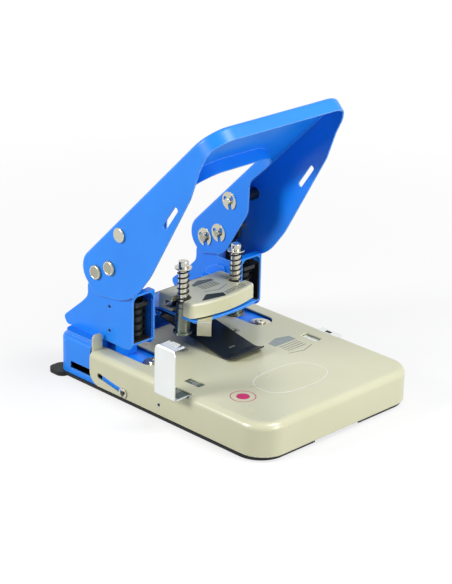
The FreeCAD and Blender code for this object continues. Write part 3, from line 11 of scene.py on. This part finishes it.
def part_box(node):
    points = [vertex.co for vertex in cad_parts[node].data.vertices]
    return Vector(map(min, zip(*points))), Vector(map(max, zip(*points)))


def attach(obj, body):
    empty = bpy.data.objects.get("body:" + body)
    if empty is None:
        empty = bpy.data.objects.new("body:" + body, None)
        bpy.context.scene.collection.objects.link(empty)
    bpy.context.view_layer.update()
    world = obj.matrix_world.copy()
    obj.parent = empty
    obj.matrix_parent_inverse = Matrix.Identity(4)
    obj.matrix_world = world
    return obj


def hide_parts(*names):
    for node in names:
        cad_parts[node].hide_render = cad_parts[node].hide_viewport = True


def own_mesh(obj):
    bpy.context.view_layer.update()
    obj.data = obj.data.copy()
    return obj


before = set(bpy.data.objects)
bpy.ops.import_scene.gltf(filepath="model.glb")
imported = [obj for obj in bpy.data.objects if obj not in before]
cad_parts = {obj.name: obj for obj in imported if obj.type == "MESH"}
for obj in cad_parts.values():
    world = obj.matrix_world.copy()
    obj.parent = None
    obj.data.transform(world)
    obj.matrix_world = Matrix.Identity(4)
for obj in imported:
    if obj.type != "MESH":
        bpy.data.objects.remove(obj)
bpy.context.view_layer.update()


# Bottom cover: a shallow tray, injection-moulded in ABS that is black right through.
# The mould was spark-eroded, which leaves the face matt, with a pebble of about 0.8 mm.
MM = 0.001


def linear(hex_colour):
    """sRGB hex to the linear colour that a shader wants."""
    channels = [int(hex_colour[i:i + 2], 16) / 255 for i in (1, 3, 5)]
    return tuple(c / 12.92 if c <= 0.04045 else ((c + 0.055) / 1.055) ** 2.4 for c in channels) + (1.0,)


def add(tree, kind, settings=None, links=None):
    """Adds a node, sets its properties and inputs, and links {input: source socket}."""
    node = tree.nodes.new(kind)
    for name, value in (settings or {}).items():
        if isinstance(name, str) and hasattr(node, name):
            setattr(node, name, value)
        else:
            node.inputs[name].default_value = value
    for name, source in (links or {}).items():
        tree.links.new(source, node.inputs[name])
    return node


def new_material(name, colour, roughness, metallic=0.0, **sockets):
    """A material whose shader holds the finish's own numbers; returns material, tree and shader."""
    material = bpy.data.materials.new(name)
    material.use_nodes = True
    tree = material.node_tree
    shader = tree.nodes["Principled BSDF"]
    shader.inputs["Base Color"].default_value = linear(colour)
    shader.inputs["Roughness"].default_value = roughness
    shader.inputs["Metallic"].default_value = metallic
    for socket, value in sockets.items():
        shader.inputs[socket.replace("_", " ")].default_value = value
    material.diffuse_color = linear(colour)
    return material, tree, shader


def relief(tree, shader, size_mm, height_mm, stretch=(1, 1, 1), edge_mm=0.5):
    """Fine relief of the given grain size, with the sharp edges broken to a small radius."""
    place = add(tree, "ShaderNodeTexCoord")
    scaled = add(tree, "ShaderNodeMapping", {"Scale": stretch}, {"Vector": place.outputs["Object"]})
    noise = add(tree, "ShaderNodeTexNoise", {"Scale": 1 / (size_mm * MM), "Detail": 2.0},
                {"Vector": scaled.outputs["Vector"]})
    edge = add(tree, "ShaderNodeBevel", {"samples": 6, "Radius": edge_mm * MM})
    bump = add(tree, "ShaderNodeBump", {"Strength": 1.0, "Distance": height_mm * MM},
               {"Height": noise.outputs["Fac"], "Normal": edge.outputs["Normal"]})
    tree.links.new(bump.outputs["Normal"], shader.inputs["Normal"])


def drift(tree, size_mm, low, high):
    """A slow variation between two numbers over the given size; returns its socket."""
    place = add(tree, "ShaderNodeTexCoord")
    noise = add(tree, "ShaderNodeTexNoise", {"Scale": 1 / (size_mm * MM), "Detail": 3.0},
                {"Vector": place.outputs["Object"]})
    spread = add(tree, "ShaderNodeMapRange",
                 {"From Min": 0.3, "From Max": 0.7, "To Min": low, "To Max": high},
                 {"Value": noise.outputs["Fac"]})
    return spread.outputs["Result"]


def uneven_gloss(tree, shader, size_mm, smoothest, roughest):
    """Lets the roughness wander between two values over the given size."""
    tree.links.new(drift(tree, size_mm, smoothest, roughest), shader.inputs["Roughness"])


def tint(tree, shader, colours, size_mm):
    """Lets the colour wander between two close shades over the given size; returns the mix's socket."""
    shades = add(tree, "ShaderNodeMix", {"data_type": "RGBA", 6: linear(colours[0]), 7: linear(colours[1])},
                 {0: drift(tree, size_mm, 0.0, 1.0)})
    tree.links.new(shades.outputs[2], shader.inputs["Base Color"])
    return shades.outputs[2]


def finish(material, *names):
    """Puts the material on the solid model's nodes."""
    for name in names:
        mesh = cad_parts[name].data
        mesh.materials.clear()
        mesh.materials.append(material)


black_abs, tree, shader = new_material("moulded black ABS", "#0F1112", roughness=0.6, Specular_IOR_Level=0.35)
relief(tree, shader, size_mm=0.8, height_mm=0.03)
tint(tree, shader, ("#0D0F10", "#121516"), size_mm=12)
uneven_gloss(tree, shader, size_mm=25, smoothest=0.5, roughest=0.62)
finish(black_abs, "bottom_cover")


# Base frame, uprights, bridge and lever: sheet steel, drawn and folded, then powder-coated blue.
# The coat is half glossy, with an orange peel of about 3 mm. Folds and cut edges get a paler blue,
# a painted highlight.
def edge_mask(tree, edge_mm):
    """1 along sharp edges and 0 on flats, from how far a rounded edge would turn the surface."""
    edge = add(tree, "ShaderNodeBevel", {"samples": 6, "Radius": edge_mm * MM})
    flat = add(tree, "ShaderNodeNewGeometry")
    along = add(tree, "ShaderNodeVectorMath", {"operation": "DOT_PRODUCT"},
                {0: edge.outputs["Normal"], 1: flat.outputs["Normal"]})
    mask = add(tree, "ShaderNodeMapRange",
               {"From Min": 0.99, "From Max": 0.85, "To Min": 0.0, "To Max": 1.0},
               {"Value": along.outputs["Value"]})
    return mask.outputs["Result"]


blue_coat, tree, shader = new_material("blue powder coat on steel", "#0F85F3", roughness=0.34)
relief(tree, shader, size_mm=3.0, height_mm=0.015, edge_mm=0.7)
blue = tint(tree, shader, ("#0D82EF", "#1288F7"), size_mm=50)
# Paler blue along the sharp edges: a painted highlight.
blue_with_painted_edge_highlight = add(tree, "ShaderNodeMix", {"data_type": "RGBA", 7: linear("#94C8FF")},
                {0: edge_mask(tree, edge_mm=0.9), 6: blue})
tree.links.new(blue_with_painted_edge_highlight.outputs[2], shader.inputs["Base Color"])
uneven_gloss(tree, shader, size_mm=40, smoothest=0.3, roughest=0.4)
finish(blue_coat, "base_frame", "upright_left", "upright_right", "upright_spacer_left",
       "upright_spacer_right", "bridge_plate", "handle")


# Spring guides: moulded ABS liners that stand in the uprights and keep the return springs straight.
# They are black, which darkens the inside of each upright. The inner wall of each mouth is blue like the
# plate next to it, and fades to black further in: a painted shade.
wall_thick, blend_depth = 1.8 * MM, 0.7 * MM
wall_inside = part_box("spring_guide_right")[0].x + wall_thick
blue_until, painted_shade_from = 24 * MM, 34 * MM
guide_liner_shade, tree, shader = new_material("black ABS liner, blue mouth fading into painted shade", "#0D0F10", roughness=0.55)
relief(tree, shader, size_mm=0.8, height_mm=0.03)
place = add(tree, "ShaderNodeTexCoord")
parts = add(tree, "ShaderNodeSeparateXYZ", None, {0: place.outputs["Object"]})
from_middle = add(tree, "ShaderNodeMath", {"operation": "ABSOLUTE"}, {0: parts.outputs["X"]})
on_wall = add(tree, "ShaderNodeMapRange", {"From Min": wall_inside + blend_depth, "From Max": wall_inside},
              {"Value": from_middle.outputs[0]})
# Deeper in, the blue fades to black: painted shade.
blue_into_painted_shade = add(tree, "ShaderNodeMapRange", {"From Min": painted_shade_from, "From Max": blue_until},
               {"Value": parts.outputs["Y"]})
both = add(tree, "ShaderNodeMath", {"operation": "MULTIPLY"},
           {0: on_wall.outputs["Result"], 1: blue_into_painted_shade.outputs["Result"]})
shades = add(tree, "ShaderNodeMix", {"data_type": "RGBA", 6: linear("#0D0F10"), 7: linear("#0F6CE0")},
             {0: both.outputs[0]})
tree.links.new(shades.outputs[2], shader.inputs["Base Color"])
finish(guide_liner_shade, "spring_guide_left", "spring_guide_right")


# Table and head cover: drawn sheet steel in cream stove enamel.
# The enamel flows out before it sets, so it is smooth and fairly glossy, and rounds the edges off.
cream_enamel, tree, shader = new_material("cream stove enamel", "#C7C6A6", roughness=0.3,
                                          Specular_IOR_Level=0.9)
relief(tree, shader, size_mm=2.4, height_mm=0.01, edge_mm=0.6)
tint(tree, shader, ("#C5C4A3", "#C9C8A9"), size_mm=70)
uneven_gloss(tree, shader, size_mm=60, smoothest=0.26, roughest=0.34)
finish(cream_enamel, "table_top", "head_cover")


# Printed marks on table and head cover: screen ink, baked on the enamel, a little duller than it.
# They are plain shapes: the outline of a sheet with ruled bars, a panel with bars, a ring with a dot. The
# empty oval is a raised line of paler enamel.
def put(name, shell, material, body):
    """Makes a piece from a bmesh, with its faces turned outwards, and lets it ride on a body."""
    bmesh.ops.recalc_face_normals(shell, faces=shell.faces)
    mesh = bpy.data.meshes.new(name)
    shell.to_mesh(mesh)
    shell.free()
    mesh.materials.append(material)
    piece = bpy.data.objects.new(name, mesh)
    bpy.context.scene.collection.objects.link(piece)
    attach(piece, body)
    return piece


def lay(name, outlines, height, material, body, thick=0.05):
    """Thin flat shapes, each a list of (x, y) in mm, that lie at a height and ride on a body."""
    shell = bmesh.new()
    for outline in outlines:
        low = [shell.verts.new((x * MM, y * MM, height * MM)) for x, y in outline]
        high = [shell.verts.new((x * MM, y * MM, (height + thick) * MM)) for x, y in outline]
        shell.faces.new(high)
        shell.faces.new(reversed(low))
        for i in range(len(outline)):
            j = (i + 1) % len(outline)
            shell.faces.new((low[i], low[j], high[j], high[i]))
    return put(name, shell, material, body)


def stroke_line(points, width, closed=False):
    """Quads that follow a line of points at a given width, one for each run."""
    ends = points[1:] + points[:1] if closed else points[1:]
    quads = []
    for (x0, y0), (x1, y1) in zip(points, ends):
        length = math.hypot(x1 - x0, y1 - y0)
        nx, ny = -(y1 - y0) / length * width / 2, (x1 - x0) / length * width / 2
        quads.append([(x0 + nx, y0 + ny), (x0 - nx, y0 - ny), (x1 - nx, y1 - ny), (x1 + nx, y1 + ny)])
    return quads


def oval(x, y, across, along, power=2.0, count=56):
    """Points of a rounded oval about a centre; a higher power squares it."""
    spots = []
    for i in range(count):
        c, s = math.cos(2 * math.pi * i / count), math.sin(2 * math.pi * i / count)
        spots.append((x + across * math.copysign(abs(c) ** (2 / power), c),
                      y + along * math.copysign(abs(s) ** (2 / power), s)))
    return spots


def sheet_mark(x, rear, half, cap, length, peak):
    """A sheet of paper from above: a filled cap with a peak, and ruled bars over a pointed front edge."""
    filled = [(x - half, rear - cap), (x + half, rear - cap), (x + half, rear), (x, rear + peak),
              (x - half, rear)]
    edge_width, bar_width, overhang = 0.7, 0.9, 2
    front = [(x - half - overhang, rear - length), (x, rear - length - peak),
             (x + half + overhang, rear - length)]
    lines = stroke_line(front, edge_width)
    for share in (0.12, 0.25, 0.38, 0.51):
        y = rear - cap - length * share
        lines += stroke_line([(x - half + overhang, y), (x + half - overhang, y)], bar_width)
    return filled, lines


def screen_ink(name, colour, roughness, shades, **sockets):
    """Baked screen ink with small changes of shade. The screen's grain is drawn 0.5 mm wide, so it shows."""
    ink, tree, shader = new_material(name, colour, roughness, **sockets)
    relief(tree, shader, size_mm=0.5, height_mm=0.004)
    tint(tree, shader, shades, size_mm=3)
    return ink


grey_ink = screen_ink("grey screen ink", "#8F9A97", roughness=0.45, shades=("#88938F", "#98A29E"))
dark_ink = screen_ink("dark grey screen ink", "#465250", roughness=0.45, shades=("#3F4B49", "#4F5B58"))
black_ink = screen_ink("black screen ink", "#1E2625", roughness=0.6, shades=("#1A2221", "#252E2C"),
                       Specular_IOR_Level=0.2)
crimson_ink = screen_ink("crimson screen ink", "#B5195A", roughness=0.45, shades=("#AE1655", "#BC2062"))
pale_enamel, tree, shader = new_material("raised pale enamel line", "#E2E3D6", roughness=0.3)
relief(tree, shader, size_mm=0.8, height_mm=0.004)

# The dies lie flush with the table's face.
table_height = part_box("die_bush_left")[1].z / MM
hood_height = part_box("head_cover")[1].z / MM
cap, lines = sheet_mark(x=58, rear=-52, half=16.5, cap=11, length=33, peak=5.5)
lay("table_sheet_cap", [cap], table_height, grey_ink, "base")
lay("table_sheet_lines", lines, table_height, dark_ink, "base")
cap, lines = sheet_mark(x=5.5, rear=19, half=15, cap=5, length=23, peak=5.5)
lay("hood_sheet_cap", [cap], hood_height, dark_ink, "base")
lay("hood_sheet_lines", lines, hood_height, black_ink, "base")
panel = [(-32, -21), (-15.5, -10.5), (3, -18.3), (-0.5, -26.9)]
lay("hood_front_panel", [panel], hood_height, black_ink, "base")
bars = ([(5, -18.5), (37, -13.5)], [(4, -21), (38, -16.2)], [(3.5, -23.5), (36, -19.6)])
lay("hood_front_bars", [quad for bar in bars for quad in stroke_line(bar, width=0.8)], hood_height,
    black_ink, "base")
lay("blank_oval", stroke_line(oval(-5, -130, across=45, along=27, power=2.6), width=1.1, closed=True),
    table_height, pale_enamel, "base", thick=0.12)
ring_centre, ring_radius, dot_radius = (-76.5, -130), 13.4, 7.2
lay("ring_mark", stroke_line(oval(*ring_centre, ring_radius, ring_radius), width=0.9, closed=True),
    table_height, crimson_ink, "base")
lay("ring_mark_dot", [oval(*ring_centre, dot_radius, dot_radius)], table_height, crimson_ink, "base")


# Paper gauge: steel strip, bent up at the left into a fence, and zinc-plated bright.
# It was rolled, so a faint grain runs along it. A dark scale shows in the table's left window, and the right
# end has a small black stop.
zinc_plate, tree, shader = new_material("bright zinc plate", "#E6EAE8", roughness=0.34, metallic=1.0)
relief(tree, shader, size_mm=0.6, height_mm=0.006, stretch=(0.08, 1, 1))
uneven_gloss(tree, shader, size_mm=14, smoothest=0.3, roughest=0.42)
finish(zinc_plate, "paper_gauge")
sheet_thick, scale_thick = 1.4, 0.08
plate_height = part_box("paper_gauge")[0].z / MM + sheet_thick


def rectangle(left, right, near, far):
    """Corners of a rectangle that lies square to the table, in mm."""
    return [(left, near), (right, near), (right, far), (left, far)]


scale_left, scale_near = -128, -86
lay("gauge_scale", [rectangle(left=scale_left, right=-52, near=scale_near, far=-57.6)], plate_height,
    dark_ink, "side_gauge", thick=scale_thick)
first_tick, tick_pitch, tick_count = scale_left + 0.5, 2.5, 30
tick_foot, short_tick, long_tick = scale_near + 11, scale_near + 18, scale_near + 24
ticks = [[(first_tick + tick_pitch * i, tick_foot),
          (first_tick + tick_pitch * i, short_tick if i % 4 else long_tick)] for i in range(tick_count)]
lay("gauge_scale_ticks", [quad for tick in ticks for quad in stroke_line(tick, width=0.5)],
    plate_height + scale_thick, pale_enamel, "side_gauge", thick=0.04)
lay("gauge_stop", [rectangle(left=117.2, right=121, near=-74.6, far=-67.2)], plate_height, black_abs,
    "side_gauge", thick=0.3)


# Rods, small pins and screws: silver steel, ground round and left bare.
# Grinding leaves fine scratches round them, each about 0.5 mm long, which soften the gloss a little.
ground_steel, tree, shader = new_material("ground steel", "#CBC9BC", roughness=0.2, metallic=1.0)
relief(tree, shader, size_mm=0.5, height_mm=0.004, stretch=(1, 1, 12), edge_mm=0.3)
uneven_gloss(tree, shader, size_mm=6, smoothest=0.16, roughest=0.26)
finish(ground_steel, "punch_rod_left", "punch_rod_right", "punch_clips", "link_pins", "holder_pin",
       "cross_pin_clips", "yoke_screws")


# Dies: hardened steel discs pressed into the die bar.
# Their tops are bead-blasted, so they are dull and grainy beside the enamel.
blasted_steel, tree, shader = new_material("bead-blasted die steel", "#B9B8A4", roughness=0.62, metallic=0.75)
relief(tree, shader, size_mm=0.4, height_mm=0.01, edge_mm=0.3)
uneven_gloss(tree, shader, size_mm=4, smoothest=0.55, roughest=0.7)
finish(blasted_steel, "die_bush_left", "die_bush_right")


# Sleeves that guide the rods: turned steel, darkened by its oil, with fine turning marks round them.
# The die bar, the cross pin and the spacer tubes are blackened steel, so they stay out of sight.
turned_steel, tree, shader = new_material("oiled turned steel", "#757C75", roughness=0.32, metallic=1.0)
relief(tree, shader, size_mm=0.5, height_mm=0.006, stretch=(1, 1, 10), edge_mm=0.6)
uneven_gloss(tree, shader, size_mm=8, smoothest=0.22, roughest=0.34)
finish(turned_steel, "punch_sleeve_left", "punch_sleeve_right")
blackened_steel, tree, shader = new_material("blackened steel", "#4A4F4D", roughness=0.36, metallic=1.0)
relief(tree, shader, size_mm=0.5, height_mm=0.006, edge_mm=0.3)
uneven_gloss(tree, shader, size_mm=8, smoothest=0.3, roughest=0.42)
finish(blackened_steel, "die_bar", "table_cross_pin", "spacer_tube_left", "spacer_tube_right")


# Retaining rings, washers, bolts, spacer pins and the head cover's clip: bright nickel plate over steel.
# The plate is thin and keeps the shine of the turned or pressed face under it.
nickel_plate, tree, shader = new_material("bright nickel plate", "#CBC9B8", roughness=0.2, metallic=1.0)
relief(tree, shader, size_mm=1.0, height_mm=0.004, edge_mm=0.4)
uneven_gloss(tree, shader, size_mm=5, smoothest=0.16, roughest=0.26)
finish(nickel_plate, "handle_pin_clips", "deck_bolts", "deck_washers", "upright_bolts", "spacer_pin_left",
       "spacer_pin_right", "front_clip")


# Pivot and drive pins of the lever: nickel over a brushed face, duller and a little warm.
# Their heads are dished, and a bright raised rim is left round each dish.
brushed_nickel, tree, shader = new_material("brushed nickel plate", "#A9A897", roughness=0.34, metallic=1.0)
relief(tree, shader, size_mm=0.6, height_mm=0.008, stretch=(1, 0.1, 1), edge_mm=0.6)
uneven_gloss(tree, shader, size_mm=5, smoothest=0.28, roughest=0.4)
finish(brushed_nickel, "pivot_pin_left", "pivot_pin_right", "drive_pin_left", "drive_pin_right")


def skin(name, rings, material, body, closed=False):
    """A smooth tube over rings of points, joined into a loop or capped at both ends."""
    shell = bmesh.new()
    loops = [[shell.verts.new(point) for point in ring] for ring in rings]
    sides = len(loops[0])
    for first, second in zip(loops, loops[1:] + loops[:1] if closed else loops[1:]):
        for k in range(sides):
            after = (k + 1) % sides
            shell.faces.new((first[k], first[after], second[after], second[k])).smooth = True
    if not closed:
        shell.faces.new(loops[0])
        shell.faces.new(reversed(loops[-1]))
    return put(name, shell, material, body)


def turns_of(count):
    """Angles of a full turn in equal steps."""
    return [2 * math.pi * i / count for i in range(count)]


head_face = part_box("pivot_pin_right")[1].x
rim_radius, rim_half_width, rim_flatness = 6.9 * MM, 0.9 * MM, 0.6
pin_places = {"pivot": (70.35 * MM, 130.3 * MM), "drive": (48.45 * MM, 141.25 * MM)}
for side_name, side in (("left", -1), ("right", 1)):
    for pin, (y, z) in pin_places.items():
        rings = [[(side * (head_face + rim_half_width * rim_flatness * math.sin(a)),
                   y + (rim_radius + rim_half_width * math.cos(a)) * math.cos(around),
                   z + (rim_radius + rim_half_width * math.cos(a)) * math.sin(around))
                  for a in turns_of(10)] for around in turns_of(48)]
        skin(f"{pin}_pin_rim_{side_name}", rings, nickel_plate, "lever", closed=True)


# Paper holder, crosshead, drive arms and yokes: steel in thin black lacquer, satin and slightly wavy.
# Across the holder run a fold near its front and, behind that, a short pressed bead whose grey top is a
# painted reflection.
black_lacquer, tree, shader = new_material("satin black lacquer on steel", "#141817", roughness=0.33)
relief(tree, shader, size_mm=1.6, height_mm=0.008, edge_mm=0.5)
uneven_gloss(tree, shader, size_mm=20, smoothest=0.28, roughest=0.4)
finish(black_lacquer, "paper_holder", "crosshead_bar", "drive_arm_left", "drive_arm_right", "drive_yoke_left",
       "drive_yoke_right")
# The bead's grey top is a painted reflection, not wear.
slot_painted_reflection, tree, shader = new_material("black lacquer with painted grey reflection", "#4A504E", roughness=0.3)
relief(tree, shader, size_mm=0.6, height_mm=0.006)
tint(tree, shader, ("#3B413F", "#5A605D"), size_mm=2)


def bead(name, y, half, radius, material):
    """A pressed bead across the holder: a half-sunk round rib that follows the sheet's own height."""
    steps, bluntness, end_size, flatness, above = 24, 8, 0.02, 0.7, 0.2
    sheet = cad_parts["paper_holder"].data
    surface = BVHTree.FromPolygons([v.co for v in sheet.vertices], [p.vertices for p in sheet.polygons])
    rings = []
    for x in [half * (2 * i / steps - 1) for i in range(steps + 1)]:
        top = surface.ray_cast(Vector((x * MM, y * MM, above)), Vector((0, 0, -1)))[0]
        taper = math.sqrt(max(0.0, 1 - (abs(x) / half) ** bluntness))
        swell = radius * MM * (taper * (1 - end_size) + end_size)
        rings.append([(x * MM, y * MM + swell * math.cos(a), top.z + swell * flatness * math.sin(a))
                      for a in turns_of(12)])
    skin(name, rings, material, "holder")


bead("holder_fold", y=-56.5, half=22.5, radius=0.8, material=black_lacquer)
bead("holder_slot", y=-36.5, half=4.5, radius=1.3, material=slot_painted_reflection)


def coil(name, centre, low, high, radius, wire, turns, material):
    """A round-wire compression spring between two heights."""
    steps, dead = 32, 1.0
    total = turns + 2 * dead
    bottom, top = (low + wire / 2) * MM, (high - wire / 2) * MM
    wire_high = wire * MM
    rings = []
    for i in range(int(total * steps) + 1):
        turn = i / steps
        if turn < dead:
            z = bottom + wire_high * turn
        elif turn > total - dead:
            z = top - wire_high * (total - turn)
        else:
            z = bottom + wire_high * dead + (top - bottom - 2 * wire_high * dead) * (turn - dead) / turns
        angle = 2 * math.pi * turn
        out = Vector((math.cos(angle), math.sin(angle), 0))
        spot = Vector((centre[0] * MM, centre[1] * MM, z)) + out * (radius - wire / 2) * MM
        rings.append([spot + (out * math.cos(a) + Vector((0, 0, 1)) * math.sin(a)) * wire_high / 2
                      for a in turns_of(10)])
    spring = skin(name, rings, material, "base")
    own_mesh(spring)
    return spring


drawn_wire, tree, shader = new_material("dark drawn spring wire", "#3A3B3A", roughness=0.35, metallic=1.0)
relief(tree, shader, size_mm=0.4, height_mm=0.004, edge_mm=0.1)
uneven_gloss(tree, shader, size_mm=4, smoothest=0.28, roughest=0.42)
for side, x in (("left", -40), ("right", 40)):
    spring = coil(f"punch_spring_wire_{side}", (x, 0), low=99.5, high=139.3, radius=6.95, wire=1.3, turns=6.0,
                  material=drawn_wire)
    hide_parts(f"punch_spring_{side}")

# Return springs: near black with almost no gloss, partly their own dark finish and partly painted shade, so
# the deep uprights read dark.
spring_black_and_shade, tree, shader = new_material("black spring steel with painted shade", "#070808", roughness=0.6,
                                          Specular_IOR_Level=0.08)
relief(tree, shader, size_mm=0.8, height_mm=0.006, edge_mm=0.2)
tint(tree, shader, ("#060707", "#0A0B0B"), size_mm=4)
for side, x in (("left", -82), ("right", 82)):
    spring = coil(f"return_spring_wire_{side}", (x, 29), low=61.8, high=100, radius=10, wire=2.2, turns=3.5,
                  material=spring_black_and_shade)
    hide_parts(f"return_spring_{side}")


# Studio floor: white paper that keeps the punch's shadow, which fades out with the distance. To the
# camera and in gloss it is white. For light on the punch it is grey, so that it throws no more up than
# plain paper would.
def eye_and_gloss(tree):
    """1 for what the camera sees, directly, in gloss or through glass; 0 for light on the object."""
    rays = add(tree, "ShaderNodeLightPath")
    gloss = add(tree, "ShaderNodeMath", {"operation": "MAXIMUM"},
                {0: rays.outputs["Is Camera Ray"], 1: rays.outputs["Is Glossy Ray"]})
    seen = add(tree, "ShaderNodeMath", {"operation": "MAXIMUM"},
               {0: gloss.outputs[0], 1: rays.outputs["Is Transmission Ray"]})
    return seen.outputs[0]


floor_half = 6.0
fade_from, fade_to = 0.2, 0.9
floor_mesh = bpy.data.meshes.new("floor")
floor_mesh.from_pydata([(x, y, 0.0) for x, y in ((-floor_half, -floor_half), (floor_half, -floor_half),
                                                 (floor_half, floor_half), (-floor_half, floor_half))], [],
                       [(0, 1, 2, 3)])
floor = bpy.data.objects.new("floor", floor_mesh)
bpy.context.scene.collection.objects.link(floor)
floor_paper, tree, shader = new_material("white floor paper", "#A8A8A8", roughness=0.9)
paper_white = add(tree, "ShaderNodeBsdfDiffuse", {"Color": linear("#F3F3F3")})
glow = add(tree, "ShaderNodeEmission", {"Color": linear("#FFFFFF"), "Strength": 1.0})
place = add(tree, "ShaderNodeTexCoord")
away = add(tree, "ShaderNodeVectorMath", {"operation": "LENGTH"}, {0: place.outputs["Object"]})
fade = add(tree, "ShaderNodeMapRange",
           {"From Min": fade_from, "From Max": fade_to, "To Min": 0.72, "To Max": 1.0},
           {"Value": away.outputs["Value"]})
lit = add(tree, "ShaderNodeMixShader", None,
          {0: fade.outputs["Result"], 1: paper_white.outputs[0], 2: glow.outputs[0]})
both = add(tree, "ShaderNodeMixShader", None,
           {0: eye_and_gloss(tree), 1: shader.outputs[0], 2: lit.outputs[0]})
tree.links.new(both.outputs[0], tree.nodes["Material Output"].inputs["Surface"])
floor_mesh.materials.append(floor_paper)


# Sky and lamps: a white sky for the eye and for reflections that lights the punch only a little.
# Three soft boxes do the rest: one from behind the left side, one from the front, one from above the front.
world = bpy.data.worlds.new("studio")
bpy.context.scene.world = world
world.use_nodes = True
sky = world.node_tree
bright = add(sky, "ShaderNodeBackground", {"Color": linear("#FFFFFF"), "Strength": 1.0})
dim = add(sky, "ShaderNodeBackground", {"Color": linear("#FFFFFF"), "Strength": 0.2})
mixed = add(sky, "ShaderNodeMixShader", None,
            {0: eye_and_gloss(sky), 1: dim.outputs[0], 2: bright.outputs[0]})
sky.links.new(mixed.outputs[0], sky.nodes["World Output"].inputs["Surface"])


def soft_box(name, place, target, width, power):
    """A square soft box that faces its target."""
    lamp = bpy.data.lights.new(name, "AREA")
    lamp.size = width
    lamp.energy = power
    stand = bpy.data.objects.new(name, lamp)
    stand.location = place
    stand.rotation_euler = (Vector(target) - Vector(place)).to_track_quat("-Z", "Y").to_euler()
    bpy.context.scene.collection.objects.link(stand)


soft_box("left lamp", (-1.5, 0.6, 0.9), target=(0, 0, 0.12), width=0.6, power=24)
soft_box("front lamp", (0.2, -1.55, 0.45), target=(0, 0, 0.08), width=0.8, power=12.5)
soft_box("top lamp", (0.35, -0.95, 1.5), target=(0, 0, 0.1), width=0.8, power=19)


# Camera: the view's own azimuth, elevation, roll, distance and lens, in pixels of a 452 by 584 frame.
# The lens is shifted a little, because its axis doesn't pass through the frame's middle.
azimuth, elevation, roll = math.radians(-45.06), math.radians(22.04), math.radians(1.21)
distance, focal = 2.2189, 2039.09
frame_width, frame_height = 452, 584
axis_x, axis_y = 222.66, 291.18
aim = Vector((0.00001, -0.02048, 0.10762))
back = Vector((math.sin(azimuth) * math.cos(elevation), -math.cos(azimuth) * math.cos(elevation),
               math.sin(elevation)))
level_right = Vector((math.cos(azimuth), math.sin(azimuth), 0.0))
level_up = back.cross(level_right)
right = math.cos(roll) * level_right + math.sin(roll) * level_up
up = -math.sin(roll) * level_right + math.cos(roll) * level_up
lens = bpy.data.cameras.new("camera")
lens.sensor_fit = "HORIZONTAL"
lens.sensor_width = 36.0
lens.lens = lens.sensor_width * focal / frame_width
lens.shift_x = (frame_width / 2 - axis_x) / frame_width
lens.shift_y = (axis_y - frame_height / 2) / frame_width
lens.clip_end = 20.0
camera = bpy.data.objects.new("camera", lens)
turned = Matrix((right, up, back)).transposed().to_4x4()
camera.matrix_world = Matrix.Translation(aim + back * distance) @ turned
bpy.context.scene.collection.objects.link(camera)
bpy.context.scene.camera = camera
bpy.context.scene.view_settings.view_transform = "Standard"
